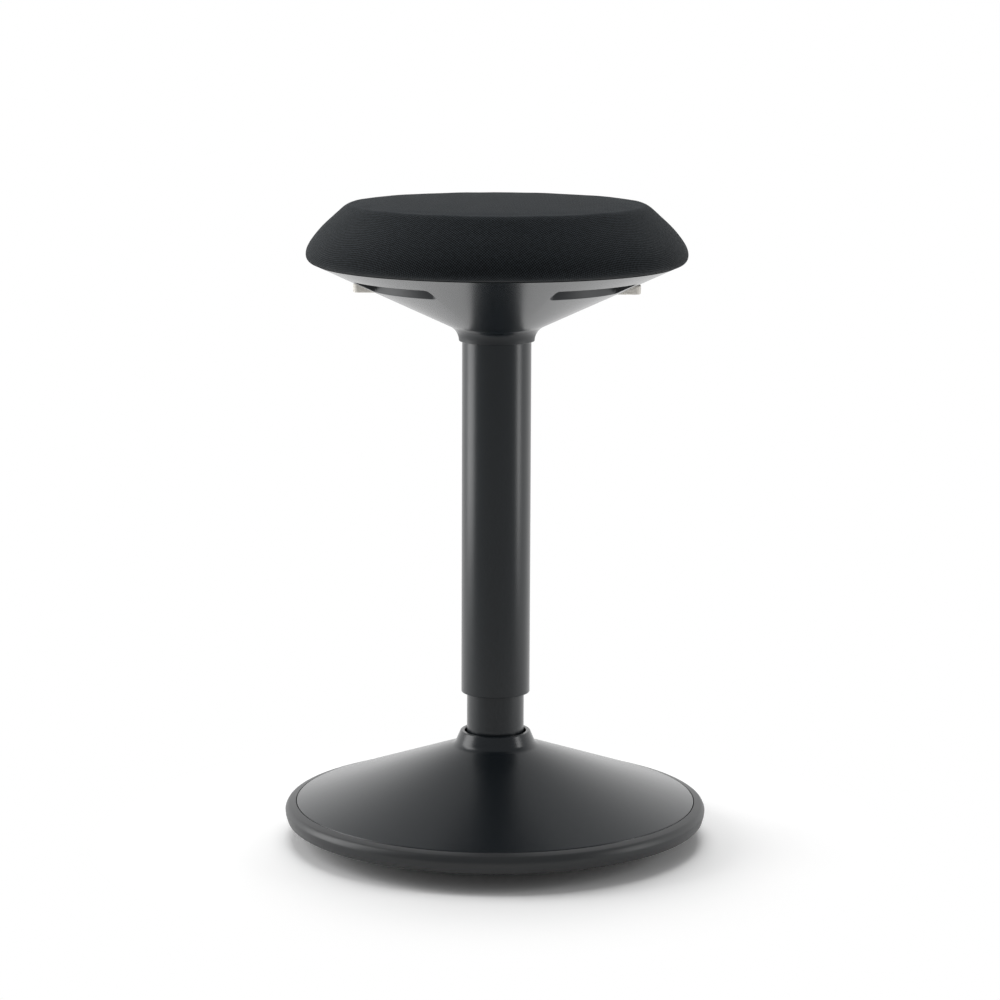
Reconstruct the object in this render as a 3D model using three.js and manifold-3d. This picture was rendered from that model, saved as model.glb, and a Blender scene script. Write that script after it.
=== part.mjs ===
// Wobble stool: a round upholstered seat on a gas-lift column that stands in a heavy base with a
// domed, rocking underside. Millimetres, +Z up. The origin is on the floor, under the column's axis,
// and the two release paddles lie along X.

import * as THREE from 'three';
import { mergeVertices } from 'three/addons/utils/BufferGeometryUtils.js';
import Module from 'manifold-3d';

const wasm = await Module();
wasm.setup();

// Driving dimensions

const fit = {
  seat: 0.3, // between two pieces that touch
  loose: 0.8, // around what is moved by hand or dropped in
  overrun: 2, // how far a cutter runs past what it cuts
};

const base = {
  radius: 185.2,
  rimClearance: 18.2, // from the floor up to the ring's underside
  ringHeight: 14.2,
  ringTopFall: 2.4, // the ring's top falls this much from the seam to its outer edge
  ringTopRound: 2.2,
  edgeInset: 2.1, // from the ring's widest band in to its lower edge
  widestFrom: 0.48, // where the ring's widest band starts, as a share of the ring's height
  widestTo: 0.72,
  ringWidth: 9.9, // from the ring's widest band in to the cover's edge
  seamGap: 0.6,
  coverSkirt: 6.6, // the cover's rim reaches this far down into the ring
  coneSlope: THREE.MathUtils.degToRad(19.65),
  coverWall: 3,
  collarStand: 5.5, // from the tube out to the collar's top edge
  collarFlare: 5.2, // from that edge out to where the cone's line meets the collar's line
  neckFillet: 8,
  collarRise: 12.15,
  lipRound: 1.1,
};

base.seamRadius = base.radius - base.ringWidth;

const column = {
  tubeRadius: 25,
  tubeWall: 1.8,
  topGap: 12, // from the guide bush up to the socket when the seat is down
  exposedTube: 35, // tube that shows between the base's collar and the sleeve when the seat is down
  sleeveStand: 5, // from the tube out to the sleeve's face
  sleeveWall: 1.5,
  sleeveLength: 310, // visible length, from the shell's collar down
  bushWall: 8.6,
  rodRadius: 5,
  travel: 200,
};

column.sleeveRadius = column.tubeRadius + column.sleeveStand;
column.cylinderRadius = column.tubeRadius - column.tubeWall - column.bushWall - 2 * fit.seat;
base.collarRadius = column.tubeRadius + base.collarStand;
base.neckRadius = base.collarRadius + base.collarFlare;

const cushion = {
  radius: 164.7,
  height: 54.4,
  crown: 3,
  creaseRadius: 128.7,
  creaseRound: 7,
  shoulderHeight: 8.4, // height of the widest line above the underside
  underRound: 8.2, // from the widest line in to the flat underside
  cloth: 1.5,
  hem: 22, // how far the cover is turned in under the board
};

cushion.undersideRadius = cushion.radius - cushion.underRound;

const shell = {
  rimInset: 0.7, // from the cushion's flat underside in to the shell's rim
  slope: THREE.MathUtils.degToRad(24.93),
  wall: 3,
  collarStand: 2.8, // from the sleeve's face out to the collar's
  neckFillet: 13.4,
  collarBand: 9.3, // from the collar's lower edge up to where the cone's line meets its wall
};

shell.rimRadius = cushion.undersideRadius - shell.rimInset;
shell.collarRadius = column.sleeveRadius + shell.collarStand;

const notch = {
  rimInset: 22.6, // from the shell's rim in to the recess's outer edge
  depth: 19.9, // from that edge in to the recess's wall
  start: THREE.MathUtils.degToRad(24), // from the front, towards the paddle
  end: THREE.MathUtils.degToRad(64),
  endRound: 5.5,
  wall: 3,
  slotHalf: 10,
  slotClearance: 1.3,
};
notch.ceilingRadius = shell.rimRadius - notch.rimInset;
notch.innerRadius = notch.ceilingRadius - notch.depth;

const paddle = {
  inset: 9.3, // from the recess's outer edge in to the paddle's end
  length: 34,
  width: 17.6,
  thickness: 7.8,
  underCeiling: 6.6, // from the finger recess's ceiling down to the paddle's top
  cornerRadius: 4.5,
  edgeRound: 0.9,
  lift: THREE.MathUtils.degToRad(5),
};
paddle.reach = notch.ceilingRadius - paddle.inset;

// How finely round shapes are drawn: faces around a turn, and how far an arc's chord may stand off it.
const steps = { wide: 40, middle: 32, tube: 24, race: 16, small: 10, screw: 8, ball: 4, arc: 5, curve: 3 };
const chordError = 0.25;
const weldTolerance = 1e-4;

// Outlines and solids

// A corner is [across, up, radius]. Corners with a radius become arcs; the rest stay sharp.
function rounded(corners) {
  const points = [];
  const count = corners.length;
  corners.forEach(([x, y, radius = 0], i) => {
    const corner = new THREE.Vector2(x, y);
    if (radius <= 0) {
      points.push(corner);
      return;
    }
    const before = new THREE.Vector2(...corners[(i + count - 1) % count]).sub(corner);
    const after = new THREE.Vector2(...corners[(i + 1) % count]).sub(corner);
    const room = Math.min(before.length(), after.length()) / 2;
    const half = Math.acos(THREE.MathUtils.clamp(before.normalize().dot(after.normalize()), -1, 1)) / 2;
    const tangent = Math.min(radius / Math.tan(half), room);
    const fillet = tangent * Math.tan(half);
    const middle = before.clone().add(after).normalize().multiplyScalar(fillet / Math.sin(half)).add(corner);
    const from = before.multiplyScalar(tangent).add(corner).sub(middle);
    const to = after.multiplyScalar(tangent).add(corner).sub(middle);
    const turn = Math.atan2(from.cross(to), from.dot(to));
    const chord = 2 * Math.acos(Math.max(1 - chordError / fillet, 0));
    const pieces = Math.max(1, Math.round(Math.abs(turn) / chord));
    for (let k = 0; k <= pieces; k++) {
      points.push(from.clone().rotateAround(new THREE.Vector2(), (turn * k) / pieces).add(middle));
    }
  });
  return points;
}

// Shared vertices joined, collapsed triangles dropped and every face turned to point outwards.
function closed(geometry) {
  const source = geometry.index ? geometry.toNonIndexed() : geometry;
  source.deleteAttribute('normal');
  source.deleteAttribute('uv');
  const merged = mergeVertices(source, weldTolerance);
  const at = merged.getAttribute('position');
  const index = [];
  const [a, b, c] = [new THREE.Vector3(), new THREE.Vector3(), new THREE.Vector3()];
  let volume = 0;
  for (let i = 0; i < merged.index.count; i += 3) {
    const face = [0, 1, 2].map((k) => merged.index.getX(i + k));
    if (new Set(face).size < 3) continue;
    [a, b, c].forEach((corner, k) => corner.fromBufferAttribute(at, face[k]));
    volume += a.dot(b.cross(c));
    index.push(...face);
  }
  merged.setIndex(volume < 0 ? index.reverse() : index);
  return merged;
}

function revolve(outline, turnSteps) {
  const points = outline.map((p) => new THREE.Vector2(Math.max(p.x, 0), p.y));
  const onAxis = points[0].x === 0 && points[points.length - 1].x === 0;
  if (!onAxis) points.push(points[0].clone());
  return closed(new THREE.LatheGeometry(points, turnSteps).rotateX(Math.PI / 2));
}

function ring(inner, outer, bottom, top, turnSteps, round = 0) {
  return revolve(
    rounded([[inner, bottom], [outer, bottom, round], [outer, top, round], [inner, top]]),
    turnSteps,
  );
}

function disc(radius, bottom, top, turnSteps) {
  return revolve(rounded([[0, bottom], [radius, bottom], [radius, top], [0, top]]), turnSteps);
}

// A plan outline raised from one height to another.
function raised(points, bottom, top) {
  const depth = top - bottom;
  const geometry = new THREE.ExtrudeGeometry(new THREE.Shape(points), { depth, bevelEnabled: false });
  return closed(geometry.translate(0, 0, bottom));
}

// A side outline in X and Z, run along Y on both sides of the middle.
function across(points, width) {
  const geometry = new THREE.ExtrudeGeometry(new THREE.Shape(points), { depth: width, bevelEnabled: false });
  return closed(geometry.rotateX(Math.PI / 2).translate(0, width / 2, 0));
}

function box(x0, x1, y0, y1, z0, z1) {
  const geometry = new THREE.BoxGeometry(x1 - x0, y1 - y0, z1 - z0);
  return closed(geometry.translate((x0 + x1) / 2, (y0 + y1) / 2, (z0 + z1) / 2));
}

function solid(geometry) {
  const vertProperties = Float32Array.from(geometry.getAttribute('position').array);
  const triVerts = Uint32Array.from(geometry.index.array);
  return new wasm.Manifold(new wasm.Mesh({ numProp: 3, vertProperties, triVerts }));
}

function surface(body) {
  const mesh = body.getMesh();
  const geometry = new THREE.BufferGeometry();
  geometry.setAttribute('position', new THREE.BufferAttribute(mesh.vertProperties, 3));
  geometry.setIndex(new THREE.BufferAttribute(mesh.triVerts, 1));
  return closed(geometry);
}

const cut = (from, ...cutters) => surface(
  cutters.reduce((body, cutter) => body.subtract(solid(cutter)), solid(from)),
);
const join = (first, ...others) => surface(
  others.reduce((body, other) => body.add(solid(other)), solid(first)),
);
const common = (first, second) => surface(solid(first).intersect(solid(second)));
const turned = (geometry, angle) => geometry.clone().rotateZ(angle);
const moved = (geometry, x, y, z) => geometry.clone().translate(x, y, z);

// Places around a circle, as angle and plan position.
function around(count, radius, start = 0) {
  return Array.from({ length: count }, (_, i) => {
    const angle = start + (i * 2 * Math.PI) / count;
    return { angle, x: radius * Math.cos(angle), y: radius * Math.sin(angle) };
  });
}

// Heights above the floor, stacked from the base to the crown

const level = {};
level.rimUnder = base.rimClearance;
level.ringTop = level.rimUnder + base.ringHeight;
level.seam = level.ringTop + base.ringTopFall;
const coneHeight = (radius) => level.seam + (base.seamRadius - radius) * Math.tan(base.coneSlope);
level.collarTop = coneHeight(base.neckRadius) + base.collarRise;
level.sleeveEnd = level.collarTop + column.exposedTube;
level.shellCollar = level.sleeveEnd + column.sleeveLength;
const shellHeight = (radius) => level.shellCollar + shell.collarBand
  + (radius - shell.collarRadius) * Math.tan(shell.slope);
level.shellRim = shellHeight(shell.rimRadius);
level.notchCeiling = shellHeight(notch.ceilingRadius);
level.paddle = level.notchCeiling - paddle.underCeiling - paddle.thickness / 2;
level.cushionUnder = level.shellRim + fit.seat;
level.crown = level.cushionUnder + cushion.height;
level.boardUnder = level.cushionUnder + cushion.cloth + fit.seat;

// Materials

const paint = (name, color, roughness, metalness) => new THREE.MeshStandardMaterial({
  name, color, roughness, metalness,
});
const finish = {
  coverPlastic: paint('cover_plastic', 0x24282b, 0.45, 0),
  tubePaint: paint('tube_paint', 0x2a2d2f, 0.35, 0.4),
  shellPlastic: paint('shell_plastic', 0x25292c, 0.5, 0),
  ringRubber: paint('ring_rubber', 0x2b2c2d, 0.6, 0),
  padRubber: paint('pad_rubber', 0x1b1c1d, 0.85, 0),
  ivoryPlastic: paint('ivory_plastic', 0xe1dcd2, 0.45, 0),
  weave: paint('weave', 0x202426, 0.95, 0),
  foam: paint('foam', 0xd8d2bd, 0.95, 0),
  plywood: paint('plywood', 0xb9935f, 0.7, 0),
  castIron: paint('cast_iron', 0x303234, 0.75, 0.6),
  blackSteel: paint('black_steel', 0x1e2021, 0.5, 0.7),
  brightSteel: paint('bright_steel', 0xb4b7ba, 0.25, 1),
  zincSteel: paint('zinc_steel', 0x9fa2a3, 0.4, 0.9),
  bushPlastic: paint('bush_plastic', 0xc9c7c0, 0.5, 0),
  darkPlastic: paint('dark_plastic', 0x1d1f20, 0.6, 0),
};

const stool = new THREE.Group();

function piece(name, geometry, material, group = stool) {
  const mesh = new THREE.Mesh(geometry, material);
  mesh.name = name;
  group.add(mesh);
  return mesh;
}

// A screw that points up, with its head's underside at zero.
function screw(headRadius, headHeight, shankRadius, length) {
  return revolve(rounded([
    [0, -headHeight],
    [headRadius, -headHeight, headHeight / 2],
    [headRadius, 0],
    [shankRadius, 0],
    [shankRadius, length - shankRadius / 2],
    [shankRadius / 2, length],
    [0, length],
  ]), steps.screw);
}

// Base: domed pan, rubber floor pad, bumper ring, cast ballast and hub, and the cone cover over them

const pan = {
  wall: 3,
  ribWall: 2.4,
  ribCount: 6,
  padRadius: 60,
  padRecess: 3,
  padProud: 0.8,
  footRadius: 45, // the flat on which the stool stands upright
  seamInset: 4.1, // from the cover's edge in to the pan's edge
  tongue: 4.4,
  tongueThickness: 2.2,
  screwInset: 12.2, // from the pan's edge in to its screws
  screwCount: 6,
  bossRadius: 5.5,
  spotRadius: 5.6,
};
pan.radius = base.seamRadius - pan.seamInset;
pan.screwCircle = pan.radius - pan.screwInset;

const panScrew = { headRadius: 4.6, headHeight: 2.6, shankRadius: 2, grip: 16 };
const ballast = {
  screwClearance: 9, // from the pan's screws in to the plate's edge
  rimWidth: 50, thickness: 12, webThickness: 7, under: 21, edge: 1.5,
};
ballast.radius = pan.screwCircle - ballast.screwClearance;
ballast.innerRadius = ballast.radius - ballast.rimWidth;

const hub = {
  wall: 4, flangeRadius: 56, flange: 4, gussetCount: 4, gussetWall: 4,
  gussetShare: 0.67, // how far up the hub the gussets reach
  underCollar: 15,
  screwCircle: 46, screwCount: 4,
};
const hubScrew = { headRadius: 4.6, headHeight: 3, shankRadius: 2.4, length: 20 };
const hubScrewPlaces = around(hub.screwCount, hub.screwCircle);

// The underside is part of a ball that the ring's lower edge also touches.
const rimEdgeRadius = base.radius - base.edgeInset;
const domeRadius = (rimEdgeRadius ** 2 + base.rimClearance ** 2) / (2 * base.rimClearance);
const domeHeight = (radius) => domeRadius - Math.sqrt(domeRadius ** 2 - radius ** 2);
function domeCurve(from, to, lift) {
  const count = Math.max(2, Math.ceil((4 * Math.abs(to - from)) / base.radius));
  return Array.from({ length: count + 1 }, (_, i) => {
    const radius = from + ((to - from) * i) / count;
    return new THREE.Vector2(radius, domeHeight(radius) + lift);
  });
}

const screwPlaces = around(pan.screwCount, pan.screwCircle, Math.PI / pan.screwCount);
const screwSeat = domeHeight(pan.screwCircle) + pan.wall;

level.hubFlangeTop = ballast.under + ballast.webThickness + fit.seat + hub.flange;
level.hubScrewEnd = level.hubFlangeTop - hubScrew.length;

function makeRockerPan() {
  const recess = pan.padRadius + fit.seat;
  const recessTop = domeHeight(recess) + pan.padRecess;
  const tongueUnder = domeHeight(pan.radius) + pan.wall;
  const shellOutline = [
    new THREE.Vector2(0, recessTop),
    new THREE.Vector2(recess, recessTop),
    ...domeCurve(recess, pan.radius, 0),
    new THREE.Vector2(pan.radius, tongueUnder),
    new THREE.Vector2(pan.radius + pan.tongue, tongueUnder),
    new THREE.Vector2(pan.radius + pan.tongue, tongueUnder + pan.tongueThickness),
    new THREE.Vector2(pan.radius - pan.wall, tongueUnder + pan.tongueThickness),
    ...domeCurve(pan.radius - pan.wall, recess + pan.wall, pan.wall),
    new THREE.Vector2(recess + pan.wall, recessTop + pan.wall),
    new THREE.Vector2(0, recessTop + pan.wall),
  ];
  let body = revolve(shellOutline, steps.wide);
  const ribTop = ballast.under - fit.seat;
  const ribSide = [
    new THREE.Vector2(recess, recessTop + pan.wall / 2),
    ...domeCurve(recess + pan.wall, ballast.radius, pan.wall / 2),
    new THREE.Vector2(ballast.radius, ribTop),
    new THREE.Vector2(recess, ribTop),
  ];
  const rib = across(ribSide, pan.ribWall);
  const ribs = around(pan.ribCount, 0).map(({ angle }) => turned(rib, angle));
  const bosses = screwPlaces.map(({ x, y }) => moved(
    disc(pan.bossRadius, screwSeat - pan.wall / 2, screwSeat + pan.wall, steps.small), x, y, 0,
  ));
  const hubBoss = disc(pan.bossRadius, recessTop + pan.wall / 2, ribTop, steps.small);
  const hubBosses = hubScrewPlaces.map(({ x, y }) => moved(hubBoss, x, y, 0));
  body = join(body, ...ribs, ...bosses, ...hubBosses);
  const spots = screwPlaces.map(({ x, y }) => moved(
    disc(pan.spotRadius, -fit.overrun, screwSeat, steps.small), x, y, 0,
  ));
  const holes = screwPlaces.map(({ x, y }) => moved(
    disc(panScrew.shankRadius + fit.seat, -fit.overrun, level.seam, steps.small), x, y, 0,
  ));
  const pilot = disc(hubScrew.shankRadius + fit.seat, level.hubScrewEnd, ballast.under, steps.small);
  return cut(body, ...spots, ...holes, ...hubScrewPlaces.map(({ x, y }) => moved(pilot, x, y, 0)));
}

function makeFloorPad() {
  const under = Math.max(domeHeight(pan.padRadius) - pan.padProud, 0);
  const top = domeHeight(pan.padRadius) + pan.padRecess - fit.seat;
  return revolve(rounded([
    [0, 0],
    [pan.footRadius, 0],
    [pan.padRadius, under, base.lipRound],
    [pan.padRadius, top],
    [0, top],
  ]), steps.wide);
}

const ringInner = pan.radius + fit.seat;
level.coverRim = level.seam - base.coverSkirt;

function makeBumperRing() {
  const groove = domeHeight(pan.radius) + pan.wall - fit.seat;
  const grooveTop = groove + pan.tongueThickness + 2 * fit.seat;
  const grooveRadius = pan.radius + pan.tongue + fit.seat;
  const seamRadius = base.seamRadius + base.seamGap;
  const shelf = level.coverRim - fit.seat;
  return revolve(rounded([
    [ringInner, domeHeight(ringInner)],
    [rimEdgeRadius, level.rimUnder, base.lipRound],
    [base.radius, level.rimUnder + base.ringHeight * base.widestFrom, base.ringHeight / 4],
    [base.radius, level.rimUnder + base.ringHeight * base.widestTo, base.ringHeight / 4],
    [base.radius - base.ringTopRound, level.ringTop, base.ringTopRound],
    [seamRadius, level.seam - base.seamGap / 2, base.seamGap],
    [seamRadius, shelf],
    [ringInner, shelf],
    [ringInner, grooveTop],
    [grooveRadius, grooveTop],
    [grooveRadius, groove],
    [ringInner, groove],
  ]), steps.wide);
}

// The cover is a full cone less its hollow, so that its bosses end on the inner face.
function makeBaseCover() {
  const drop = base.coverWall / Math.cos(base.coneSlope);
  const bore = column.tubeRadius + fit.overrun;
  const innerNeck = base.neckRadius - base.coverWall;
  const rimInner = base.seamRadius - base.coverWall;
  const below = level.coverRim - fit.overrun;
  const outer = revolve(rounded([
    [0, level.coverRim],
    [base.seamRadius, level.coverRim],
    [base.seamRadius, level.seam, base.lipRound],
    [base.neckRadius, coneHeight(base.neckRadius), base.neckFillet],
    [base.collarRadius, level.collarTop, base.lipRound],
    [bore - fit.overrun, level.collarTop],
    [0, level.collarTop],
  ]), steps.wide);
  const hollow = revolve(rounded([
    [0, below],
    [rimInner, below],
    [rimInner, coneHeight(rimInner) - drop],
    [innerNeck, coneHeight(innerNeck) - drop, base.neckFillet / 2],
    [bore, level.collarTop - base.coverWall],
    [0, level.collarTop - base.coverWall],
  ]), steps.wide);
  const mouth = disc(bore, level.seam, level.collarTop + fit.overrun, steps.wide);
  const bossUnder = screwSeat + pan.wall + fit.seat;
  const boss = disc(pan.bossRadius, bossUnder, level.collarTop, steps.small);
  const pilotEnd = screwSeat + panScrew.grip + fit.seat;
  const pilot = disc(
    panScrew.shankRadius + fit.seat, bossUnder - fit.overrun, pilotEnd, steps.small,
  );
  const atScrews = (shape) => screwPlaces.map(({ x, y }) => moved(shape, x, y, 0));
  return cut(outer, cut(hollow, ...atScrews(boss)), mouth, ...atScrews(pilot));
}

function makeBallast() {
  const bore = hubOuter + fit.seat;
  const top = ballast.under + ballast.thickness;
  const plate = revolve(rounded([
    [bore, ballast.under],
    [ballast.radius, ballast.under, ballast.edge],
    [ballast.radius, top, ballast.edge],
    [ballast.innerRadius, top],
    [ballast.innerRadius - ballast.edge * 2, ballast.under + ballast.webThickness],
    [bore, ballast.under + ballast.webThickness],
  ]), steps.middle);
  return cut(plate, ...hubScrewHoles());
}

function hubScrewHoles() {
  const [below, above] = [ballast.under - fit.overrun, level.hubFlangeTop + fit.overrun];
  const hole = disc(hubScrew.shankRadius + fit.seat, below, above, steps.small);
  return hubScrewPlaces.map(({ x, y }) => moved(hole, x, y, 0));
}

// Column tube with a tapered foot that wedges in the hub

const foot = {
  taper: THREE.MathUtils.degToRad(1.43),
  clearance: 3, // from the ballast's underside up to the tube's end
  floor: 4, // thickness of the tube's closed end
  rodHole: 6,
};
const hubTop = level.collarTop - hub.underCollar;
const tubeFoot = ballast.under + foot.clearance;
const footRadius = column.tubeRadius - (hubTop - tubeFoot) * Math.tan(foot.taper);
const hubOuter = column.tubeRadius + fit.seat + hub.wall;

function makeHub() {
  const flangeUnder = ballast.under + ballast.webThickness + fit.seat;
  const flangeTop = level.hubFlangeTop;
  const body = revolve(rounded([
    [footRadius + fit.seat, tubeFoot],
    [hubOuter, tubeFoot],
    [hubOuter, flangeUnder],
    [hub.flangeRadius, flangeUnder],
    [hub.flangeRadius, flangeTop],
    [hubOuter, flangeTop],
    [hubOuter, hubTop, hub.wall / 4],
    [column.tubeRadius + fit.seat, hubTop],
  ]), steps.tube);
  const gussetTop = THREE.MathUtils.lerp(flangeTop, hubTop, hub.gussetShare);
  const side = rounded([
    [hubOuter - hub.wall / 2, flangeTop - hub.flange / 2],
    [hub.flangeRadius - hub.flange, flangeTop - hub.flange / 2],
    [hub.flangeRadius - hub.flange, flangeTop + hub.flange / 2],
    [hubOuter + hub.wall / 2, gussetTop],
    [hubOuter - hub.wall / 2, gussetTop],
  ]);
  const gusset = across(side, hub.gussetWall);
  const gussets = around(hub.gussetCount, 0, Math.PI / hub.gussetCount).map(
    ({ angle }) => turned(gusset, angle),
  );
  return cut(join(body, ...gussets), ...hubScrewHoles());
}

const socket = { wall: 5, length: 47 };
const tray = {
  halfWidth: 26.5, flange: 25.5, sheet: 2.5, depth: 24.5, bend: 3,
  boltInset: 18, boltY: 40, portClearance: 0.5,
};
const bush = { flange: 3, length: 80 };
level.trayTop = level.boardUnder - fit.seat;
level.trayUnder = level.trayTop - tray.depth;
level.socketTop = level.trayUnder - fit.seat;
level.socketUnder = level.socketTop - socket.length;
level.tubeTop = level.socketUnder - column.topGap - bush.flange;

function makeColumnTube() {
  const inner = column.tubeRadius - column.tubeWall;
  const innerFoot = footRadius - column.tubeWall;
  return revolve(rounded([
    [foot.rodHole, tubeFoot],
    [footRadius, tubeFoot, column.tubeWall],
    [column.tubeRadius, hubTop],
    [column.tubeRadius, level.tubeTop],
    [inner, level.tubeTop],
    [inner, hubTop],
    [innerFoot, tubeFoot + foot.floor],
    [foot.rodHole, tubeFoot + foot.floor],
  ]), steps.tube);
}

function makeGuideBush() {
  const outer = column.tubeRadius - column.tubeWall - fit.seat;
  const inner = column.cylinderRadius + fit.seat;
  const flangeUnder = level.tubeTop + fit.seat;
  return revolve(rounded([
    [inner, flangeUnder - bush.length],
    [outer, flangeUnder - bush.length],
    [outer, flangeUnder],
    [column.tubeRadius, flangeUnder],
    [column.tubeRadius, flangeUnder + bush.flange, bush.flange / 3],
    [inner, flangeUnder + bush.flange, bush.flange / 3],
  ]), steps.tube);
}

// Rod end: washer and clip under the tube, thrust bearing and buffer above its floor

const thrust = { outer: 17, race: 2, balls: 3, ballCount: 8, cage: 15.6, cageBore: 8.5 };
const clip = { washerRadius: 11, washer: 1.4, radius: 9, thickness: 1.4, grooveDepth: 1, mouth: 6.8 };
const buffer = { radius: 11.5, height: 20 };
const rod = { shoulderRadius: 8, shoulder: 3, pistonGap: 0.4, piston: 10, endStand: 5 };
const cylinder = { wall: 2.6, seal: 12, valveBlock: 34, taper: 1.25, topStand: 3.2 };
cylinder.bore = column.cylinderRadius - cylinder.wall;

level.washer = tubeFoot - fit.seat - clip.washer;
level.clip = level.washer - fit.seat - clip.thickness;
level.rodEnd = level.clip - clip.thickness;
level.bearing = tubeFoot + foot.floor + fit.seat;
level.cage = level.bearing + thrust.race + fit.seat;
level.upperRace = level.cage + thrust.balls + fit.seat;
level.rodShoulder = level.upperRace + thrust.race + fit.seat;
level.buffer = level.rodShoulder + rod.shoulder + fit.seat;
level.cylinderUnder = level.buffer + buffer.height + fit.seat;
level.piston = level.cylinderUnder + cylinder.seal + column.travel + fit.loose;
level.rodTop = level.piston + rod.piston + rod.endStand;
level.cylinderTop = level.trayUnder + cylinder.topStand;

const raceBore = column.rodRadius + fit.seat;
const cageBall = thrust.balls / 2;

function makeRace(bottom) {
  return ring(raceBore, thrust.outer, bottom, bottom + thrust.race, steps.race);
}

// The cage and its ring of balls turn as one.
function makeBallRing() {
  const middle = level.cage + cageBall;
  const cage = ring(
    thrust.cageBore, thrust.cage, middle - cageBall / 2, middle + cageBall / 2, steps.race,
  );
  const ballCircle = (thrust.cageBore + thrust.cage) / 2;
  const ball = new THREE.SphereGeometry(cageBall, steps.ball, steps.ball).rotateX(Math.PI / 2);
  const balls = around(thrust.ballCount, ballCircle).map(({ x, y }) => closed(moved(ball, x, y, middle)));
  return join(cage, ...balls);
}

function makeRod() {
  const { rodRadius } = column;
  const grooveRadius = rodRadius - clip.grooveDepth;
  const [grooveFoot, grooveTop] = [level.clip - fit.seat, level.clip + clip.thickness + fit.seat];
  const shoulderTop = level.rodShoulder + rod.shoulder;
  return revolve(rounded([
    [0, level.rodEnd],
    [rodRadius, level.rodEnd, clip.grooveDepth / 2],
    [rodRadius, grooveFoot],
    [grooveRadius, grooveFoot],
    [grooveRadius, grooveTop],
    [rodRadius, grooveTop],
    [rodRadius, level.rodShoulder],
    [rod.shoulderRadius, level.rodShoulder],
    [rod.shoulderRadius, shoulderTop],
    [rodRadius, shoulderTop],
    [rodRadius, level.rodTop],
    [0, level.rodTop],
  ]), steps.small);
}

// An open ring that snaps into the rod's groove.
function makeClip() {
  const bore = column.rodRadius - clip.grooveDepth + fit.seat;
  return cut(
    ring(bore, clip.radius, level.clip, level.clip + clip.thickness, steps.small),
    box(0, clip.radius + fit.overrun, -clip.mouth / 2, clip.mouth / 2, level.rodEnd, level.washer),
  );
}

// The piston is threaded on the rod's end and keeps a running gap inside the cylinder.
function makePiston() {
  return ring(raceBore, cylinder.bore - rod.pistonGap, level.piston, level.piston + rod.piston, steps.race);
}

const taperRadius = (height) => column.cylinderRadius
  - (cylinder.taper * (height - level.socketUnder)) / (level.cylinderTop - level.socketUnder);

function makeGasCylinder() {
  const { bore } = cylinder;
  const buttonBore = button.radius + fit.seat;
  return revolve(rounded([
    [raceBore, level.cylinderUnder],
    [column.cylinderRadius, level.cylinderUnder, cylinder.wall / 2],
    [column.cylinderRadius, level.socketUnder],
    [taperRadius(level.cylinderTop), level.cylinderTop, fit.loose],
    [buttonBore, level.cylinderTop],
    [buttonBore, level.buttonFoot - button.travel - fit.loose],
    [raceBore, level.cylinderTop - cylinder.valveBlock],
    [bore, level.cylinderTop - cylinder.valveBlock],
    [bore, level.cylinderUnder + cylinder.seal],
    [raceBore, level.cylinderUnder + cylinder.seal],
  ]), steps.tube);
}

// Release gear: the paddles' arms rock on pins in the pressed tray and push a spool on the valve button

const lever = {
  pivotX: 26,
  tipX: 1,
  barThickness: 4,
  barWidth: 12,
  prongWidth: 22,
  prongRoot: 12,
  hubRadius: 6,
  hubLength: 44,
  pinRadius: 3,
  pinHeadRadius: 4.2,
  pinHead: 1.2,
  trayGap: 4, // from the tray's end to where the arm bends down
  dropRun: 20,
  paddleGap: 5.9,
  tangLength: 22,
};
lever.dropX = paddle.reach - paddle.length - lever.paddleGap;
lever.bendX = lever.dropX - lever.dropRun;
tray.length = 2 * (lever.bendX - lever.trayGap);
tray.boltX = tray.length / 2 - tray.boltInset;
const spool = { coreRadius: 4.5, flangeRadius: 8.5, flange: 2, topFlange: 1.5 };
const button = { radius: 4, length: 20, stand: 7.4 };
button.travel = (lever.pivotX - spool.coreRadius) * Math.tan(paddle.lift);
level.buttonTop = level.cylinderTop + button.stand;
level.buttonFoot = level.buttonTop - button.length;
level.spool = level.buttonTop + fit.seat;
level.grooveUnder = level.spool + spool.flange;
level.bar = level.grooveUnder + fit.loose + lever.barThickness / 2;
level.grooveTop = level.grooveUnder + lever.barThickness + 2 * fit.loose;

function makeSpool() {
  const top = level.grooveTop + spool.topFlange;
  return revolve(rounded([
    [0, level.spool],
    [spool.flangeRadius, level.spool],
    [spool.flangeRadius, level.grooveUnder],
    [spool.coreRadius, level.grooveUnder],
    [spool.coreRadius, level.grooveTop],
    [spool.flangeRadius, level.grooveTop],
    [spool.flangeRadius, top],
    [0, top],
  ]), steps.small);
}

function makeButton() {
  const { radius } = button;
  return revolve(rounded([
    [0, level.buttonFoot], [radius, level.buttonFoot], [radius, level.buttonTop, radius / 4],
    [0, level.buttonTop],
  ]), steps.small);
}

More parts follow.
